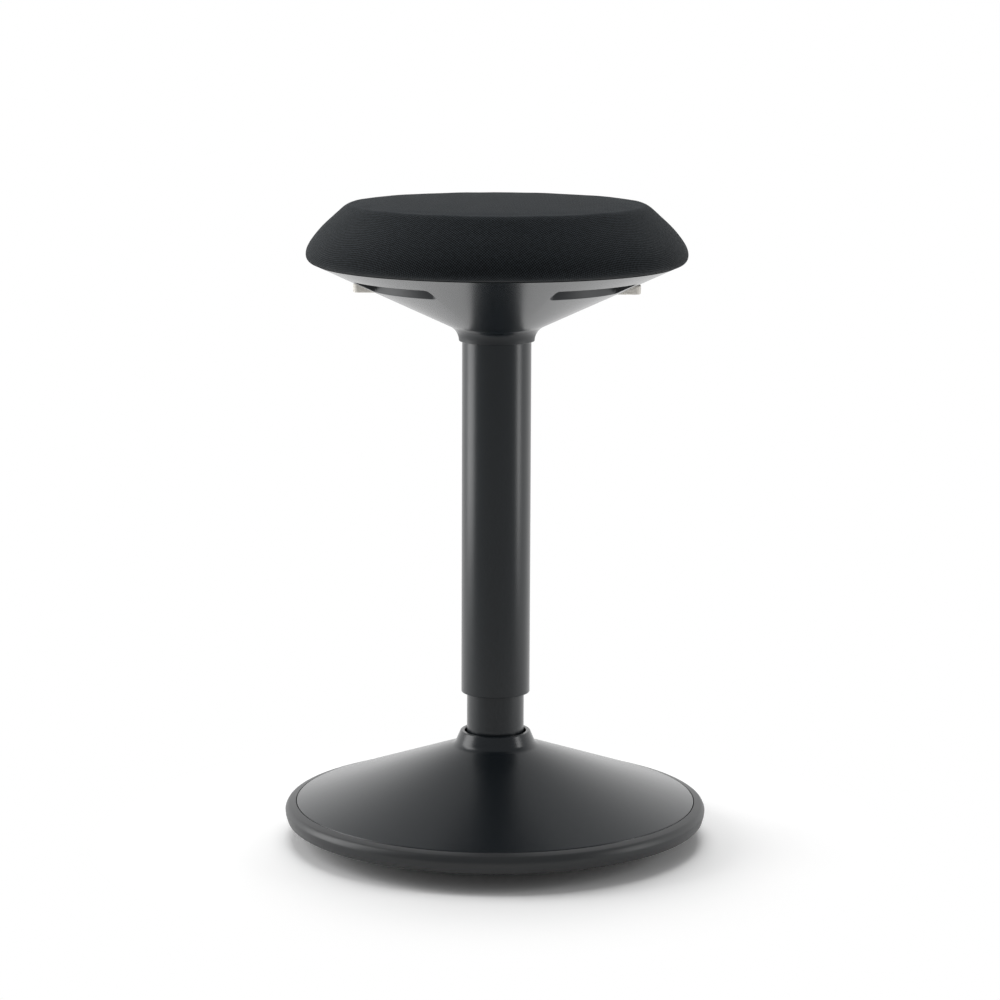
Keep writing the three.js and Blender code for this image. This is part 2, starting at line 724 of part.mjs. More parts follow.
// The tray is a pressed hat section with a port for the cylinder and holes for bolts and pins.
function makeTray() {
  const t = tray.sheet;
  const edge = tray.halfWidth + tray.flange;
  const top = level.trayTop;
  const section = rounded([
    [-edge, top - t], [-tray.halfWidth, top - t, t / 2], [-tray.halfWidth, level.trayUnder, tray.bend],
    [tray.halfWidth, level.trayUnder, tray.bend], [tray.halfWidth, top - t, t / 2], [edge, top - t],
    [edge, top], [tray.halfWidth - t, top, tray.bend], [tray.halfWidth - t, level.trayUnder + t, t / 2],
    [t - tray.halfWidth, level.trayUnder + t, t / 2], [t - tray.halfWidth, top, tray.bend], [-edge, top],
  ]);
  const sheet = new THREE.ExtrudeGeometry(
    new THREE.Shape(section), { depth: tray.length, bevelEnabled: false },
  );
  const body = closed(sheet.translate(0, 0, -tray.length / 2).rotateX(Math.PI / 2).rotateZ(Math.PI / 2));
  const portRadius = column.cylinderRadius + tray.portClearance;
  const port = disc(
    portRadius, level.trayUnder - fit.overrun, level.trayUnder + t + fit.overrun, steps.tube,
  );
  const holes = boltPlaces.map(([x, y]) => moved(
    disc(seatBolt.shankRadius + fit.seat, top - t - fit.overrun, top + fit.overrun, steps.small), x, y, 0,
  ));
  const pinHoles = [-1, 1].map((side) => closed(
    new THREE.CylinderGeometry(
      lever.pinRadius + fit.seat, lever.pinRadius + fit.seat,
      2 * (tray.halfWidth + fit.overrun), steps.small,
    ).translate(side * lever.pivotX, 0, level.bar),
  ));
  return cut(body, port, ...holes, ...pinHoles);
}

function makeSocket() {
  const top = taperRadius(level.socketTop) + fit.seat;
  const bottom = column.cylinderRadius + fit.seat;
  return revolve(rounded([
    [bottom, level.socketUnder],
    [column.cylinderRadius + socket.wall, level.socketUnder, socket.wall / 4],
    [column.cylinderRadius + socket.wall, level.socketTop],
    [top, level.socketTop],
  ]), steps.tube);
}

// Lever parts lie in a frame whose origin is the pivot, with the paddle towards +X.
const paddleMiddle = level.paddle - level.bar;

function makeLeverArm() {
  const half = lever.barThickness / 2;
  const tang = paddleMiddle;
  const [bend, drop] = [lever.bendX - lever.pivotX, lever.dropX - lever.pivotX];
  const end = drop + lever.tangLength;
  const root = lever.prongRoot - lever.pivotX;
  const bar = across(rounded([
    [root, -half], [bend, -half, half * 2], [drop, tang - half, half], [end, tang - half],
    [end, tang + half], [drop + half, tang + half, half], [bend + half, half, half * 2], [root, half],
  ]), lever.barWidth);
  const tip = lever.tipX - lever.pivotX;
  const gap = spool.coreRadius + fit.loose;
  const prongs = [-1, 1].map((side) => {
    const [a, b] = [side * gap, (side * lever.prongWidth) / 2].sort((p, q) => p - q);
    return box(tip, 0, a, b, -half, half);
  });
  const plate = box(root, 0, -lever.prongWidth / 2, lever.prongWidth / 2, -half, half);
  const tube = closed(
    new THREE.CylinderGeometry(lever.hubRadius, lever.hubRadius, lever.hubLength, steps.small),
  );
  const bore = closed(new THREE.CylinderGeometry(
    lever.pinRadius + fit.seat, lever.pinRadius + fit.seat, lever.hubLength + fit.overrun, steps.small,
  ));
  return cut(join(bar, plate, tube, ...prongs), bore);
}

function makePaddle() {
  const end = paddle.reach - lever.pivotX;
  const start = end - paddle.length;
  const half = paddle.width / 2;
  const plan = rounded([
    [start, -half, paddle.cornerRadius / 2], [end, -half, paddle.cornerRadius],
    [end, half, paddle.cornerRadius], [start, half, paddle.cornerRadius / 2],
  ]);
  const round = paddle.edgeRound;
  const shape = new THREE.Shape(plan.map((p) => p.clone()));
  const blank = new THREE.ExtrudeGeometry(shape, {
    depth: paddle.thickness - 2 * round, bevelEnabled: true, bevelSegments: 2,
    bevelSize: round, bevelThickness: round, bevelOffset: -round,
  });
  const body = closed(blank.translate(0, 0, paddleMiddle - paddle.thickness / 2 + round));
  const tangHalf = lever.barWidth / 2 + fit.seat;
  const tangEnd = lever.dropX - lever.pivotX + lever.tangLength + fit.seat;
  const thick = lever.barThickness / 2 + fit.seat;
  return cut(body, box(
    start - fit.overrun, tangEnd, -tangHalf, tangHalf, paddleMiddle - thick, paddleMiddle + thick,
  ));
}

function makePin() {
  const half = tray.halfWidth + fit.seat;
  const outline = rounded([
    [0, -half - lever.pinHead], [lever.pinHeadRadius, -half - lever.pinHead],
    [lever.pinHeadRadius, -half], [lever.pinRadius, -half], [lever.pinRadius, half], [0, half],
  ]);
  return closed(new THREE.LatheGeometry(outline, steps.small));
}

// Seat: conical shell, board, foam and cover

const seatBolt = { headRadius: 5, headHeight: 3.6, shankRadius: 3, grip: 12.6 };
const boltPlaces = [[1, 1], [-1, 1], [-1, -1], [1, -1]].map(([x, y]) => [x * tray.boltX, y * tray.boltY]);
const board = { inset: 6.5, thickness: 12, edge: 1 };
board.radius = cushion.undersideRadius - board.inset;
cushion.hemRadius = board.radius - cushion.hem;
const teeNut = { flangeRadius: 9, flange: 1.5, barrel: 4.6 };
level.boardTop = level.boardUnder + board.thickness;

const shellScrew = { headRadius: 4.4, headHeight: 2.6, shankRadius: 2.1, bite: 7, boss: 8 };
const shellRib = { wall: 2, count: 4, inset: 21, belowRim: 3 };
level.slotCeiling = level.paddle + paddle.thickness / 2 + notch.slotClearance
  + (paddle.reach - lever.pivotX) * Math.sin(paddle.lift);
level.slotFloor = level.paddle - paddle.thickness / 2 - notch.slotClearance;

// One finger recess in plan, grown outwards by a wall, in the quarter of +X and -Y.
function notchPlan(grow) {
  const inner = notch.innerRadius - grow;
  const first = notch.start - Math.PI / 2 - grow / inner;
  const last = notch.end - Math.PI / 2 + grow / inner;
  const arc = Array.from({ length: steps.arc + 1 }, (_, i) => {
    const angle = first + ((last - first) * i) / steps.arc;
    return [inner * Math.cos(angle), inner * Math.sin(angle)];
  });
  arc[0].push(notch.endRound);
  arc[steps.arc].push(notch.endRound);
  const out = [last, first].map((angle) => [
    shell.rimRadius * Math.cos(angle), shell.rimRadius * Math.sin(angle),
  ]);
  return rounded([...arc, ...out]);
}

function quarters(geometry) {
  const mirrored = (x, y) => closed(geometry.clone().scale(x, y, 1));
  return [geometry, mirrored(-1, 1), mirrored(-1, -1), mirrored(1, -1)];
}

function makeShell() {
  const lift = shell.wall / Math.cos(shell.slope);
  const collarInner = column.sleeveRadius + fit.loose;
  const innerHeight = (radius) => shellHeight(radius) + lift;
  const rimInner = shell.rimRadius - lift / Math.tan(shell.slope);
  const outer = revolve(rounded([
    [0, level.shellCollar], [shell.collarRadius, level.shellCollar, base.lipRound],
    [shell.collarRadius, shellHeight(shell.collarRadius), shell.neckFillet],
    [shell.rimRadius, level.shellRim], [0, level.shellRim],
  ]), steps.wide);
  const below = level.shellCollar - fit.overrun;
  const above = level.shellRim + fit.overrun;
  const hollow = revolve(rounded([
    [0, below], [collarInner, below],
    [collarInner, innerHeight(collarInner), shell.neckFillet + shell.wall],
    [rimInner, level.shellRim], [rimInner, above], [0, above],
  ]), steps.wide);
  const pockets = quarters(raised(notchPlan(notch.wall), below, level.notchCeiling + shell.wall));
  const cutters = quarters(raised(notchPlan(0), below, level.notchCeiling));
  const bosses = quarters(moved(
    disc(shellScrew.boss, level.notchCeiling, level.shellRim, steps.small), ...shellScrewPlace, 0,
  ));
  const slotInner = shell.rimRadius - (level.shellRim - level.slotFloor) / Math.tan(shell.slope);
  const slotWalls = [-1, 1].map((side) => box(
    ...[side * slotInner, side * shell.rimRadius].sort((p, q) => p - q),
    -notch.slotHalf - notch.wall, notch.slotHalf + notch.wall, below, level.slotCeiling + shell.wall,
  ));
  const rib = common(outer, box(
    notch.innerRadius - shellRib.inset, shell.rimRadius, -shellRib.wall / 2, shellRib.wall / 2,
    below, level.shellRim - shellRib.belowRim,
  ));
  const ribs = around(shellRib.count, 0, Math.PI / shellRib.count).map(({ angle }) => turned(rib, angle));
  const inside = cut(hollow, ...pockets, ...slotWalls, ...bosses, ...ribs);
  const slots = [-1, 1].map((side) => box(
    ...[0, side * (shell.rimRadius + fit.overrun)].sort((p, q) => p - q),
    -notch.slotHalf, notch.slotHalf, level.slotFloor, level.slotCeiling,
  ));
  const holes = quarters(moved(disc(
    shellScrew.shankRadius + fit.seat, level.notchCeiling - fit.overrun, above, steps.small,
  ), ...shellScrewPlace, 0));
  const sinks = quarters(moved(disc(
    shellScrew.headRadius + fit.loose, level.notchCeiling - fit.overrun, level.shellScrew, steps.small,
  ), ...shellScrewPlace, 0));
  return cut(outer, inside, ...cutters, ...slots, ...holes, ...sinks);
}

const shellScrewAngle = (notch.start + notch.end - Math.PI) / 2;
const shellScrewCircle = (notch.innerRadius + notch.ceilingRadius) / 2;
const shellScrewPlace = [
  shellScrewCircle * Math.cos(shellScrewAngle), shellScrewCircle * Math.sin(shellScrewAngle),
];
level.shellScrew = level.notchCeiling + shell.wall + shellScrew.headHeight / 2;

function makeBoard() {
  const body = revolve(rounded([
    [0, level.boardUnder], [board.radius, level.boardUnder, board.edge],
    [board.radius, level.boardTop, board.edge], [0, level.boardTop],
  ]), steps.wide);
  const boltHoles = boltPlaces.map(([x, y]) => moved(disc(
    teeNut.barrel + fit.seat, level.boardUnder - fit.overrun, level.boardTop + fit.overrun, steps.small,
  ), x, y, 0));
  const pilots = quarters(moved(disc(
    shellScrew.shankRadius + fit.seat, level.boardUnder - fit.overrun,
    level.boardUnder + shellScrew.bite + fit.seat, steps.small,
  ), ...shellScrewPlace, 0));
  return cut(body, ...boltHoles, ...pilots);
}

function makeTeeNut() {
  const bore = seatBolt.shankRadius + fit.seat;
  const foot = level.boardUnder + fit.seat;
  const flangeUnder = level.boardTop + fit.seat;
  const top = flangeUnder + teeNut.flange;
  return revolve(rounded([
    [bore, foot], [teeNut.barrel, foot], [teeNut.barrel, flangeUnder],
    [teeNut.flangeRadius, flangeUnder], [teeNut.flangeRadius, top], [bore, top],
  ]), steps.screw);
}

// The cushion's side view from its underside out, over the shoulder, up the drawn-in side to the crease
// and on to the middle of the crown. The shares place each curve's handles.
const handleShares = {
  under: [0.31, 0.16], shoulder: 0.46, flank: 0.31, drawIn: 0.59, drawInRadius: 0.67,
  creaseFoot: 0.74, creaseOut: 0.06, creaseIn: 0.42, crown: 0.55,
};

function cushionSide() {
  const at = (radius, height) => new THREE.Vector2(radius, level.cushionUnder + height);
  const { radius, height, crown, creaseRadius, creaseRound, shoulderHeight, undersideRadius } = cushion;
  const crease = height - crown;
  const share = handleShares;
  const path = new THREE.Path();
  path.moveTo(...at(undersideRadius, 0));
  path.bezierCurveTo(
    ...at(radius - (radius - undersideRadius) * share.under[0], shoulderHeight * share.under[1]),
    ...at(radius, shoulderHeight * share.shoulder),
    ...at(radius, shoulderHeight),
  );
  path.bezierCurveTo(
    ...at(radius, (shoulderHeight + crease) * share.flank),
    ...at(THREE.MathUtils.lerp(creaseRadius, radius, share.drawInRadius), crease * share.drawIn),
    ...at(creaseRadius + creaseRound, crease - creaseRound * share.creaseFoot),
  );
  path.quadraticCurveTo(
    ...at(creaseRadius + creaseRound * share.creaseOut, crease),
    ...at(creaseRadius - creaseRound * share.creaseIn, crease),
  );
  path.quadraticCurveTo(...at(creaseRadius * share.crown, height), ...at(0, height));
  return path.getPoints(steps.curve);
}

// The same line drawn in by a thickness.
function drawnIn(points, depth) {
  return points.map((point, i) => {
    const before = points[Math.max(i - 1, 0)];
    const after = points[Math.min(i + 1, points.length - 1)];
    const along = after.clone().sub(before).normalize();
    const inward = new THREE.Vector2(-along.y, along.x);
    return point.clone().addScaledVector(inward, depth);
  });
}

function makeCover() {
  const side = cushionSide();
  const under = level.cushionUnder;
  const inner = drawnIn(side, cushion.cloth).filter((_, i) => i % 2 === 0);
  inner[0].set(cushion.undersideRadius, under + cushion.cloth);
  inner[inner.length - 1].x = 0;
  return revolve([
    ...inner.reverse(),
    new THREE.Vector2(cushion.hemRadius, under + cushion.cloth),
    new THREE.Vector2(cushion.hemRadius, under),
    ...side,
  ], steps.wide);
}

function makeFoam() {
  const gap = cushion.cloth + fit.seat;
  const outer = drawnIn(cushionSide(), gap).filter((_, i) => i % 2 === 0);
  outer[0].set(cushion.undersideRadius, level.cushionUnder + gap);
  outer[outer.length - 1].x = 0;
  const inner = board.radius + fit.seat;
  const bottom = level.boardTop + teeNut.flange + 2 * fit.seat;
  return revolve([
    new THREE.Vector2(0, bottom),
    new THREE.Vector2(inner, bottom),
    new THREE.Vector2(inner, level.cushionUnder + gap),
    ...outer,
  ], steps.wide);
}

// Sleeve, the glide at its lower end and the carrier that holds its upper end on the socket

const glide = { height: 20, recess: 1.6 };
const carrier = { height: 14, flange: 2, round: 0.6 };
level.sleeveTop = level.socketUnder + carrier.height;

function makeSleeve() {
  const inner = column.sleeveRadius - column.sleeveWall;
  return ring(inner, column.sleeveRadius, level.sleeveEnd, level.sleeveTop, steps.middle, base.lipRound / 2);
}

function makeGlide() {
  const outer = column.sleeveRadius - column.sleeveWall - fit.seat;
  const bottom = level.sleeveEnd + glide.recess;
  return ring(column.tubeRadius + fit.seat, outer, bottom, bottom + glide.height, steps.tube);
}

function makeCarrier() {
  const inner = column.cylinderRadius + socket.wall + fit.seat;
  const outer = column.sleeveRadius - column.sleeveWall - fit.seat;
  const flangeUnder = level.sleeveTop + fit.seat;
  const top = flangeUnder + carrier.flange;
  return revolve(rounded([
    [inner, level.socketUnder + fit.seat], [outer, level.socketUnder + fit.seat, carrier.round],
    [outer, flangeUnder], [column.sleeveRadius, flangeUnder],
    [column.sleeveRadius, top, carrier.round], [inner, top],
  ]), steps.tube);
}

// Assembly

piece('rocker_pan', makeRockerPan(), finish.darkPlastic);
piece('floor_pad', makeFloorPad(), finish.padRubber);
piece('bumper_ring', makeBumperRing(), finish.ringRubber);
piece('ballast_plate', makeBallast(), finish.castIron);
piece('column_hub', makeHub(), finish.blackSteel);
piece('base_cover', makeBaseCover(), finish.coverPlastic);
screwPlaces.forEach(({ x, y }, i) => {
  const body = screw(panScrew.headRadius, panScrew.headHeight, panScrew.shankRadius, panScrew.grip);
  piece(`pan_screw_${i + 1}`, body, finish.zincSteel).position.set(x, y, screwSeat - fit.seat);
});

hubScrewPlaces.forEach(({ x, y }, i) => {
  const { headRadius, headHeight, shankRadius, length } = hubScrew;
  const body = screw(headRadius, headHeight, shankRadius, length - pan.wall).rotateX(Math.PI);
  piece(`hub_screw_${i + 1}`, body, finish.zincSteel).position.set(x, y, level.hubFlangeTop + fit.seat);
});

piece('column_tube', makeColumnTube(), finish.tubePaint);
piece('guide_bush', makeGuideBush(), finish.bushPlastic);
piece('bearing_race_lower', makeRace(level.bearing), finish.brightSteel);
piece('bearing_balls', makeBallRing(), finish.brightSteel);
piece('bearing_race_upper', makeRace(level.upperRace), finish.brightSteel);
piece('rod_washer', ring(raceBore, clip.washerRadius, level.washer, level.washer + clip.washer, steps.small),
  finish.zincSteel);
piece('rod_clip', makeClip(), finish.zincSteel);
piece('piston_rod', makeRod(), finish.brightSteel);
piece('rod_buffer', ring(raceBore, buffer.radius, level.buffer, level.buffer + buffer.height, steps.small),
  finish.padRubber);
piece('piston', makePiston(), finish.bushPlastic);

const seat = new THREE.Group();
stool.add(seat);
piece('gas_cylinder', makeGasCylinder(), finish.blackSteel, seat);
piece('valve_button', makeButton(), finish.brightSteel, seat);
piece('column_sleeve', makeSleeve(), finish.tubePaint, seat);
piece('sleeve_glide', makeGlide(), finish.darkPlastic, seat);
piece('sleeve_carrier', makeCarrier(), finish.darkPlastic, seat);
piece('taper_socket', makeSocket(), finish.blackSteel, seat);
piece('lever_tray', makeTray(), finish.blackSteel, seat);
piece('release_spool', makeSpool(), finish.bushPlastic, seat);
piece('seat_shell', makeShell(), finish.shellPlastic, seat);
piece('seat_board', makeBoard(), finish.plywood, seat);
piece('seat_foam', makeFoam(), finish.foam, seat);
piece('seat_cover', makeCover(), finish.weave, seat);

boltPlaces.forEach(([x, y], i) => {
  const bolt = screw(seatBolt.headRadius, seatBolt.headHeight, seatBolt.shankRadius, seatBolt.grip);
  piece(`seat_bolt_${i + 1}`, bolt, finish.zincSteel, seat)
    .position.set(x, y, level.trayTop - tray.sheet - fit.seat);
  piece(`tee_nut_${i + 1}`, makeTeeNut(), finish.zincSteel, seat).position.set(x, y, 0);
});
const shellScrewLength = level.boardUnder + shellScrew.bite - level.shellScrew;
[[1, 1], [-1, 1], [-1, -1], [1, -1]].forEach(([x, y], i) => {
  const { headRadius, headHeight, shankRadius } = shellScrew;
  const body = screw(headRadius, headHeight, shankRadius, shellScrewLength);
  piece(`shell_screw_${i + 1}`, body, finish.zincSteel, seat)
    .position.set(x * shellScrewPlace[0], y * shellScrewPlace[1], level.shellScrew - fit.seat);
});

[['right', 0], ['left', Math.PI]].forEach(([side, angle]) => {
  const frame = new THREE.Group();
  frame.rotation.z = angle;
  frame.position.set(lever.pivotX * Math.cos(angle), 0, level.bar);
  seat.add(frame);
  piece(`lever_arm_${side}`, makeLeverArm(), finish.blackSteel, frame);
  piece(`paddle_${side}`, makePaddle(), finish.ivoryPlastic, frame);
  piece(`pivot_pin_${side}`, makePin(), finish.zincSteel, frame);
});

export default stool;
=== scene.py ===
from math import asin, atan2, cos, hypot, pi, radians, sin, sqrt, tan

import bmesh
import bpy
from mathutils import Matrix, Vector
from mathutils.kdtree import KDTree


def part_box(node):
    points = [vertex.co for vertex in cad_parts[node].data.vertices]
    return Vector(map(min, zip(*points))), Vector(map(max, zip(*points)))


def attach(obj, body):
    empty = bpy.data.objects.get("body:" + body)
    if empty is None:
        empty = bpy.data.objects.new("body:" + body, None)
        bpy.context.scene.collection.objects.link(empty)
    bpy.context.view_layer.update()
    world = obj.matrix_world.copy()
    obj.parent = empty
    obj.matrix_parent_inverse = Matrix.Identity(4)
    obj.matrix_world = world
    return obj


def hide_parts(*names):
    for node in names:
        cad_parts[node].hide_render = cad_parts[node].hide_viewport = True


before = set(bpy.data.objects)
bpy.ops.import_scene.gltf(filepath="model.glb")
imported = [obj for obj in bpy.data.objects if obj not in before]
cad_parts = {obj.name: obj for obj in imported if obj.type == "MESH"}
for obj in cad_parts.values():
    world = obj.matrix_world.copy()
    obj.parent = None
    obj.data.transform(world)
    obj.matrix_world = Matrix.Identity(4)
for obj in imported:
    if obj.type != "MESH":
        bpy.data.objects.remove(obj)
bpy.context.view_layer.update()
mm = 0.001

# Camera: about 2.8 m in front of the stool and a little above the seat, looking slightly down. A long
# lens keeps the column straight. The picture leans by a quarter of a degree, and the stool in it is
# turned a little to the left.
camera_data = bpy.data.cameras.new("camera")
camera_data.lens = 116.7
camera_data.sensor_width = 36.0
camera = bpy.data.objects.new("camera", camera_data)
bpy.context.scene.collection.objects.link(camera)
camera_place = Vector((0.0, -2.7826, 0.7865))
look_down, look_right, lean = radians(9.875), radians(0.0686), radians(0.233)
stool_turn = radians(1.85)
camera.matrix_world = (
    Matrix.Rotation(stool_turn, 4, "Z")
    @ Matrix.Translation(camera_place)
    @ Matrix.Rotation(-look_right, 4, "Z")
    @ Matrix.Rotation(pi / 2 - look_down, 4, "X")
    @ Matrix.Rotation(lean, 4, "Z")
)
bpy.context.scene.camera = camera
bpy.context.scene.view_settings.view_transform = "Standard"


# Studio: a white paper floor in a room that is dim in front and bright behind. A tall soft box at the
# left and a smaller one at the right each draw an upright streak on the column. A large one above
# lights the stool and is left out of its reflections.
class Wire:
    """A shader socket that takes part in sums. make() puts any other node beside it."""

    def __init__(self, tree, socket=None):
        self.tree = tree
        self.socket = socket

    def make(self, kind, settings=(), output=0, **inputs):
        """A new node. An input is given by its name, or by i and its number where names repeat."""
        node = self.tree.nodes.new("ShaderNode" + kind)
        for name, value in dict(settings).items():
            setattr(node, name, value)
        for name, value in inputs.items():
            key = int(name[1:]) if name[1:].isdigit() else name.replace("_", " ")
            if isinstance(value, Wire):
                self.tree.links.new(value.socket, node.inputs[key])
            else:
                node.inputs[key].default_value = value
        return Wire(self.tree, node.outputs[output] if node.outputs else None)

    def calculate(self, operation, *values):
        return self.make("Math", {"operation": operation}, **{f"i{i}": v for i, v in enumerate(values)})

    def __add__(self, other):
        return self.calculate("ADD", self, other)

    def __rsub__(self, other):
        return self.calculate("SUBTRACT", other, self)

    def __mul__(self, other):
        return self.calculate("MULTIPLY", self, other)

    def between(self, low, high):
        """0 below low and 1 above high, with a soft step from one to the other."""
        return self.make("MapRange", {"interpolation_type": "SMOOTHSTEP"}, i0=self, i1=low, i2=high)

    def mix(self, first, second):
        """A colour between two, with this wire as the share of the second."""
        first, second = ((*c, 1.0) if isinstance(c, tuple) else c for c in (first, second))
        return self.make("Mix", {"data_type": "RGBA"}, 2, i0=self, i6=first, i7=second)

    __radd__ = __add__
    __rmul__ = __mul__


def seen_rays(wire):
    """Two masks: what the camera sees, straight or through glass, and what shows in reflections."""
    camera_ray = wire.make("LightPath", output=0)
    glossy_ray = wire.make("LightPath", output=3)
    clear_ray = wire.make("LightPath", output=6)
    return wire.calculate("MAXIMUM", camera_ray, clear_ray), glossy_ray


def soft_box(name, place, target, width, height, power):
    """A flat lamp that points at a target and that the camera doesn't see."""
    light = bpy.data.lights.new(name, "AREA")
    light.shape = "RECTANGLE"
    light.size = width
    light.size_y = height
    light.energy = power
    holder = bpy.data.objects.new(name, light)
    aim = (Vector(target) - Vector(place)).to_track_quat("-Z", "Y").to_matrix().to_4x4()
    holder.matrix_world = Matrix.Translation(place) @ aim
    holder.visible_camera = False
    bpy.context.scene.collection.objects.link(holder)
    return holder


side_distance = 1.25
for side, turn, middle, width, height, power in (
    ("left", radians(-94), 0.78, 0.72, 1.5, 13.0),
    ("right", radians(79), 0.42, 0.28, 0.8, 3.6),
):
    turn += stool_turn
    place = (side_distance * sin(turn), -side_distance * cos(turn), middle)
    soft_box(f"{side}_box", place, (0.0, 0.0, middle), width, height, power)
top_box = soft_box(
    "top_box", place=(0.0, 0.5, 2.4), target=(0.0, 0.0, 0.5), width=1.7, height=1.7, power=42.0,
)
top_box.visible_glossy = False

world = bpy.data.worlds.new("studio")
bpy.context.scene.world = world
world.use_nodes = True
world.node_tree.nodes.clear()
sky = Wire(world.node_tree)
direction = sky.make("TexCoord")
depth = sky.make("SeparateXYZ", output=1, Vector=direction)
rise = sky.make("SeparateXYZ", output=2, Vector=direction)
dim_front, bright_back = (0.33, 0.34, 0.35), (1.2, 1.2, 1.2)
ceiling_loss, room_light = 0.8, 0.28
white = (1.0, 1.0, 1.0)
behind = depth.between(-0.25, 0.7) * (1.0 - ceiling_loss * rise.between(0.36, 0.95))
room = behind.mix(dim_front, bright_back)
plain_view, glossy_ray = seen_rays(sky)
lamp_room = sky.make("Background", Color=(*white, 1.0), Strength=room_light)
mirror_room = sky.make("Background", Color=room, Strength=1.0)
white_room = sky.make("Background", Color=(*white, 1.0), Strength=1.0)
shown = sky.make("MixShader", i0=glossy_ray, i1=lamp_room, i2=mirror_room)
shown = sky.make("MixShader", i0=plain_view, i1=shown, i2=white_room)
sky.make("OutputWorld", Surface=shown)

# The paper keeps the stool's shadow and turns plain white farther out. Only reflections see it as dim in
# front as the room is, and from below it is clear, so that the underside shows.
floor_half = 6.0
floor_mesh = bmesh.new()
bmesh.ops.create_grid(floor_mesh, x_segments=1, y_segments=1, size=floor_half)
floor_data = bpy.data.meshes.new("floor")
floor_mesh.to_mesh(floor_data)
floor_mesh.free()
floor = bpy.data.objects.new("floor", floor_data)
bpy.context.scene.collection.objects.link(floor)
floor_finish = bpy.data.materials.new("floor_paper")
floor_finish.use_nodes = True
floor_finish.node_tree.nodes.clear()
ground = Wire(floor_finish.node_tree).make("TexCoord", output=3)
from_foot = ground.make("VectorMath", {"operation": "LENGTH"}, 1, i0=ground)
floor_depth = ground.make("SeparateXYZ", output=1, Vector=ground)
plain_view, glossy_ray = seen_rays(ground)
lit_paper, seen_paper = (0.96, 0.96, 0.96), (1.08, 1.08, 1.08)
front_mirrored, back_mirrored = (0.46, 0.46, 0.46), (1.22, 1.22, 1.22)
paper = ground.make("BsdfDiffuse", Color=plain_view.mix(lit_paper, seen_paper))
mirrored = floor_depth.between(-0.5, 0.25).mix(front_mirrored, back_mirrored)
plain_floor = ground.make("Emission", Color=glossy_ray.mix(white, mirrored), Strength=1.0)
whiteness = plain_view * from_foot.between(0.18, 0.36) + glossy_ray * from_foot.between(0.22, 0.6)
mixed = ground.make("MixShader", i0=whiteness, i1=paper, i2=plain_floor)
from_below = ground.make("NewGeometry", output=6)
mixed = ground.make("MixShader", i0=from_below, i1=mixed, i2=ground.make("BsdfTransparent"))
ground.make("OutputMaterial", Surface=mixed)
floor_data.materials.append(floor_finish)


# Rocking underside: a black moulded pan, part of a large ball, so that the stool tips and rights
# itself. Six screws sit in round pockets near its rim.
def turned(outline, steps=200):
    """A piece of revolution about the column's line. A point of its outline is (radius, height), or
    (radius, height, setback) where the corner is rounded from that far before it to that far after it."""
    shape = bmesh.new()
    points = [shape.verts.new((radius, 0.0, height)) for radius, height, *_ in outline]
    pairs = list(zip(points, points[1:]))
    if outline[0][0] > 0.0 or outline[-1][0] > 0.0:
        pairs.append((points[-1], points[0]))
    for pair in pairs:
        shape.edges.new(pair)
    for point, (_, _, *setback) in zip(points, outline):
        if setback:
            bmesh.ops.bevel(
                shape, geom=[point], offset=setback[0], offset_type="OFFSET", segments=7, profile=0.5,
                affect="VERTICES", material=-1,
            )
    bmesh.ops.spin(
        shape, geom=shape.verts[:] + shape.edges[:], cent=(0, 0, 0), axis=(0, 0, 1), angle=2 * pi,
        steps=steps, use_merge=True,
    )
    bmesh.ops.remove_doubles(shape, verts=shape.verts[:], dist=0.002 * mm)
    bmesh.ops.recalc_face_normals(shape, faces=shape.faces[:])
    return shape


def finished(name, shape, slot, body, material, *nodes, sharp=radians(32)):
    """Turns a bmesh into a named piece with its finish, on its body, in place of CAD nodes."""
    data = bpy.data.meshes.new(name)
    shape.to_mesh(data)
    shape.free()
    data.shade_smooth()
    data.set_sharp_from_angle(angle=sharp)
    piece = bpy.data.objects.new(name, data)
    bpy.context.scene.collection.objects.link(piece)
    data.materials.append(material)
    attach(piece, body)
    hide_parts(*nodes)
    return piece


def combined(shape, tool, operation="DIFFERENCE"):
    """The first shape less the second, or both as one. Both are used up."""
    holders = []
    for part in (shape, tool):
        data = bpy.data.meshes.new("working")
        part.to_mesh(data)
        part.free()
        holders.append(bpy.data.objects.new("working", data))
        bpy.context.scene.collection.objects.link(holders[-1])
    modifier = holders[0].modifiers.new("join", "BOOLEAN")
    modifier.operation = operation
    modifier.object = holders[1]
    result = bmesh.new()
    result.from_object(holders[0], bpy.context.evaluated_depsgraph_get())
    for holder in holders:
        bpy.data.meshes.remove(holder.data)
    return result


def drum(radius, bottom, top, x, y):
    """An upright cylinder between two heights, with its axis through x and y."""
    shape = bmesh.new()
    place = Matrix.Translation((x, y, (bottom + top) / 2))
    bmesh.ops.create_cone(
        shape, cap_ends=True, segments=48, radius1=radius, radius2=radius, depth=top - bottom,
        matrix=place,
    )
    return shape


def merged(shapes):
    """Several shapes that don't touch, as one bmesh."""
    whole = bmesh.new()
    for shape in shapes:
        data = bpy.data.meshes.new("working")
        shape.to_mesh(data)
        shape.free()
        whole.from_mesh(data)
        bpy.data.meshes.remove(data)
    return whole


def paint(name, recipe, **constants):
    """A finish. The recipe gets the surface's coordinates and returns what changes over the surface."""
    material = bpy.data.materials.new(name)
    material.use_nodes = True
    material.node_tree.nodes.clear()
    place = Wire(material.node_tree).make("TexCoord", output=3)
    shader = place.make("BsdfPrincipled", **constants, **recipe(place))
    place.make("OutputMaterial", Surface=shader)
    return material


def noise_at(place, scale, detail=2.0):
    return place.make("TexNoise", Vector=place, Scale=scale, Detail=detail)


def relief(height, depth, strength=1.0):
    return height.make("Bump", Height=height, Distance=depth, Strength=strength)


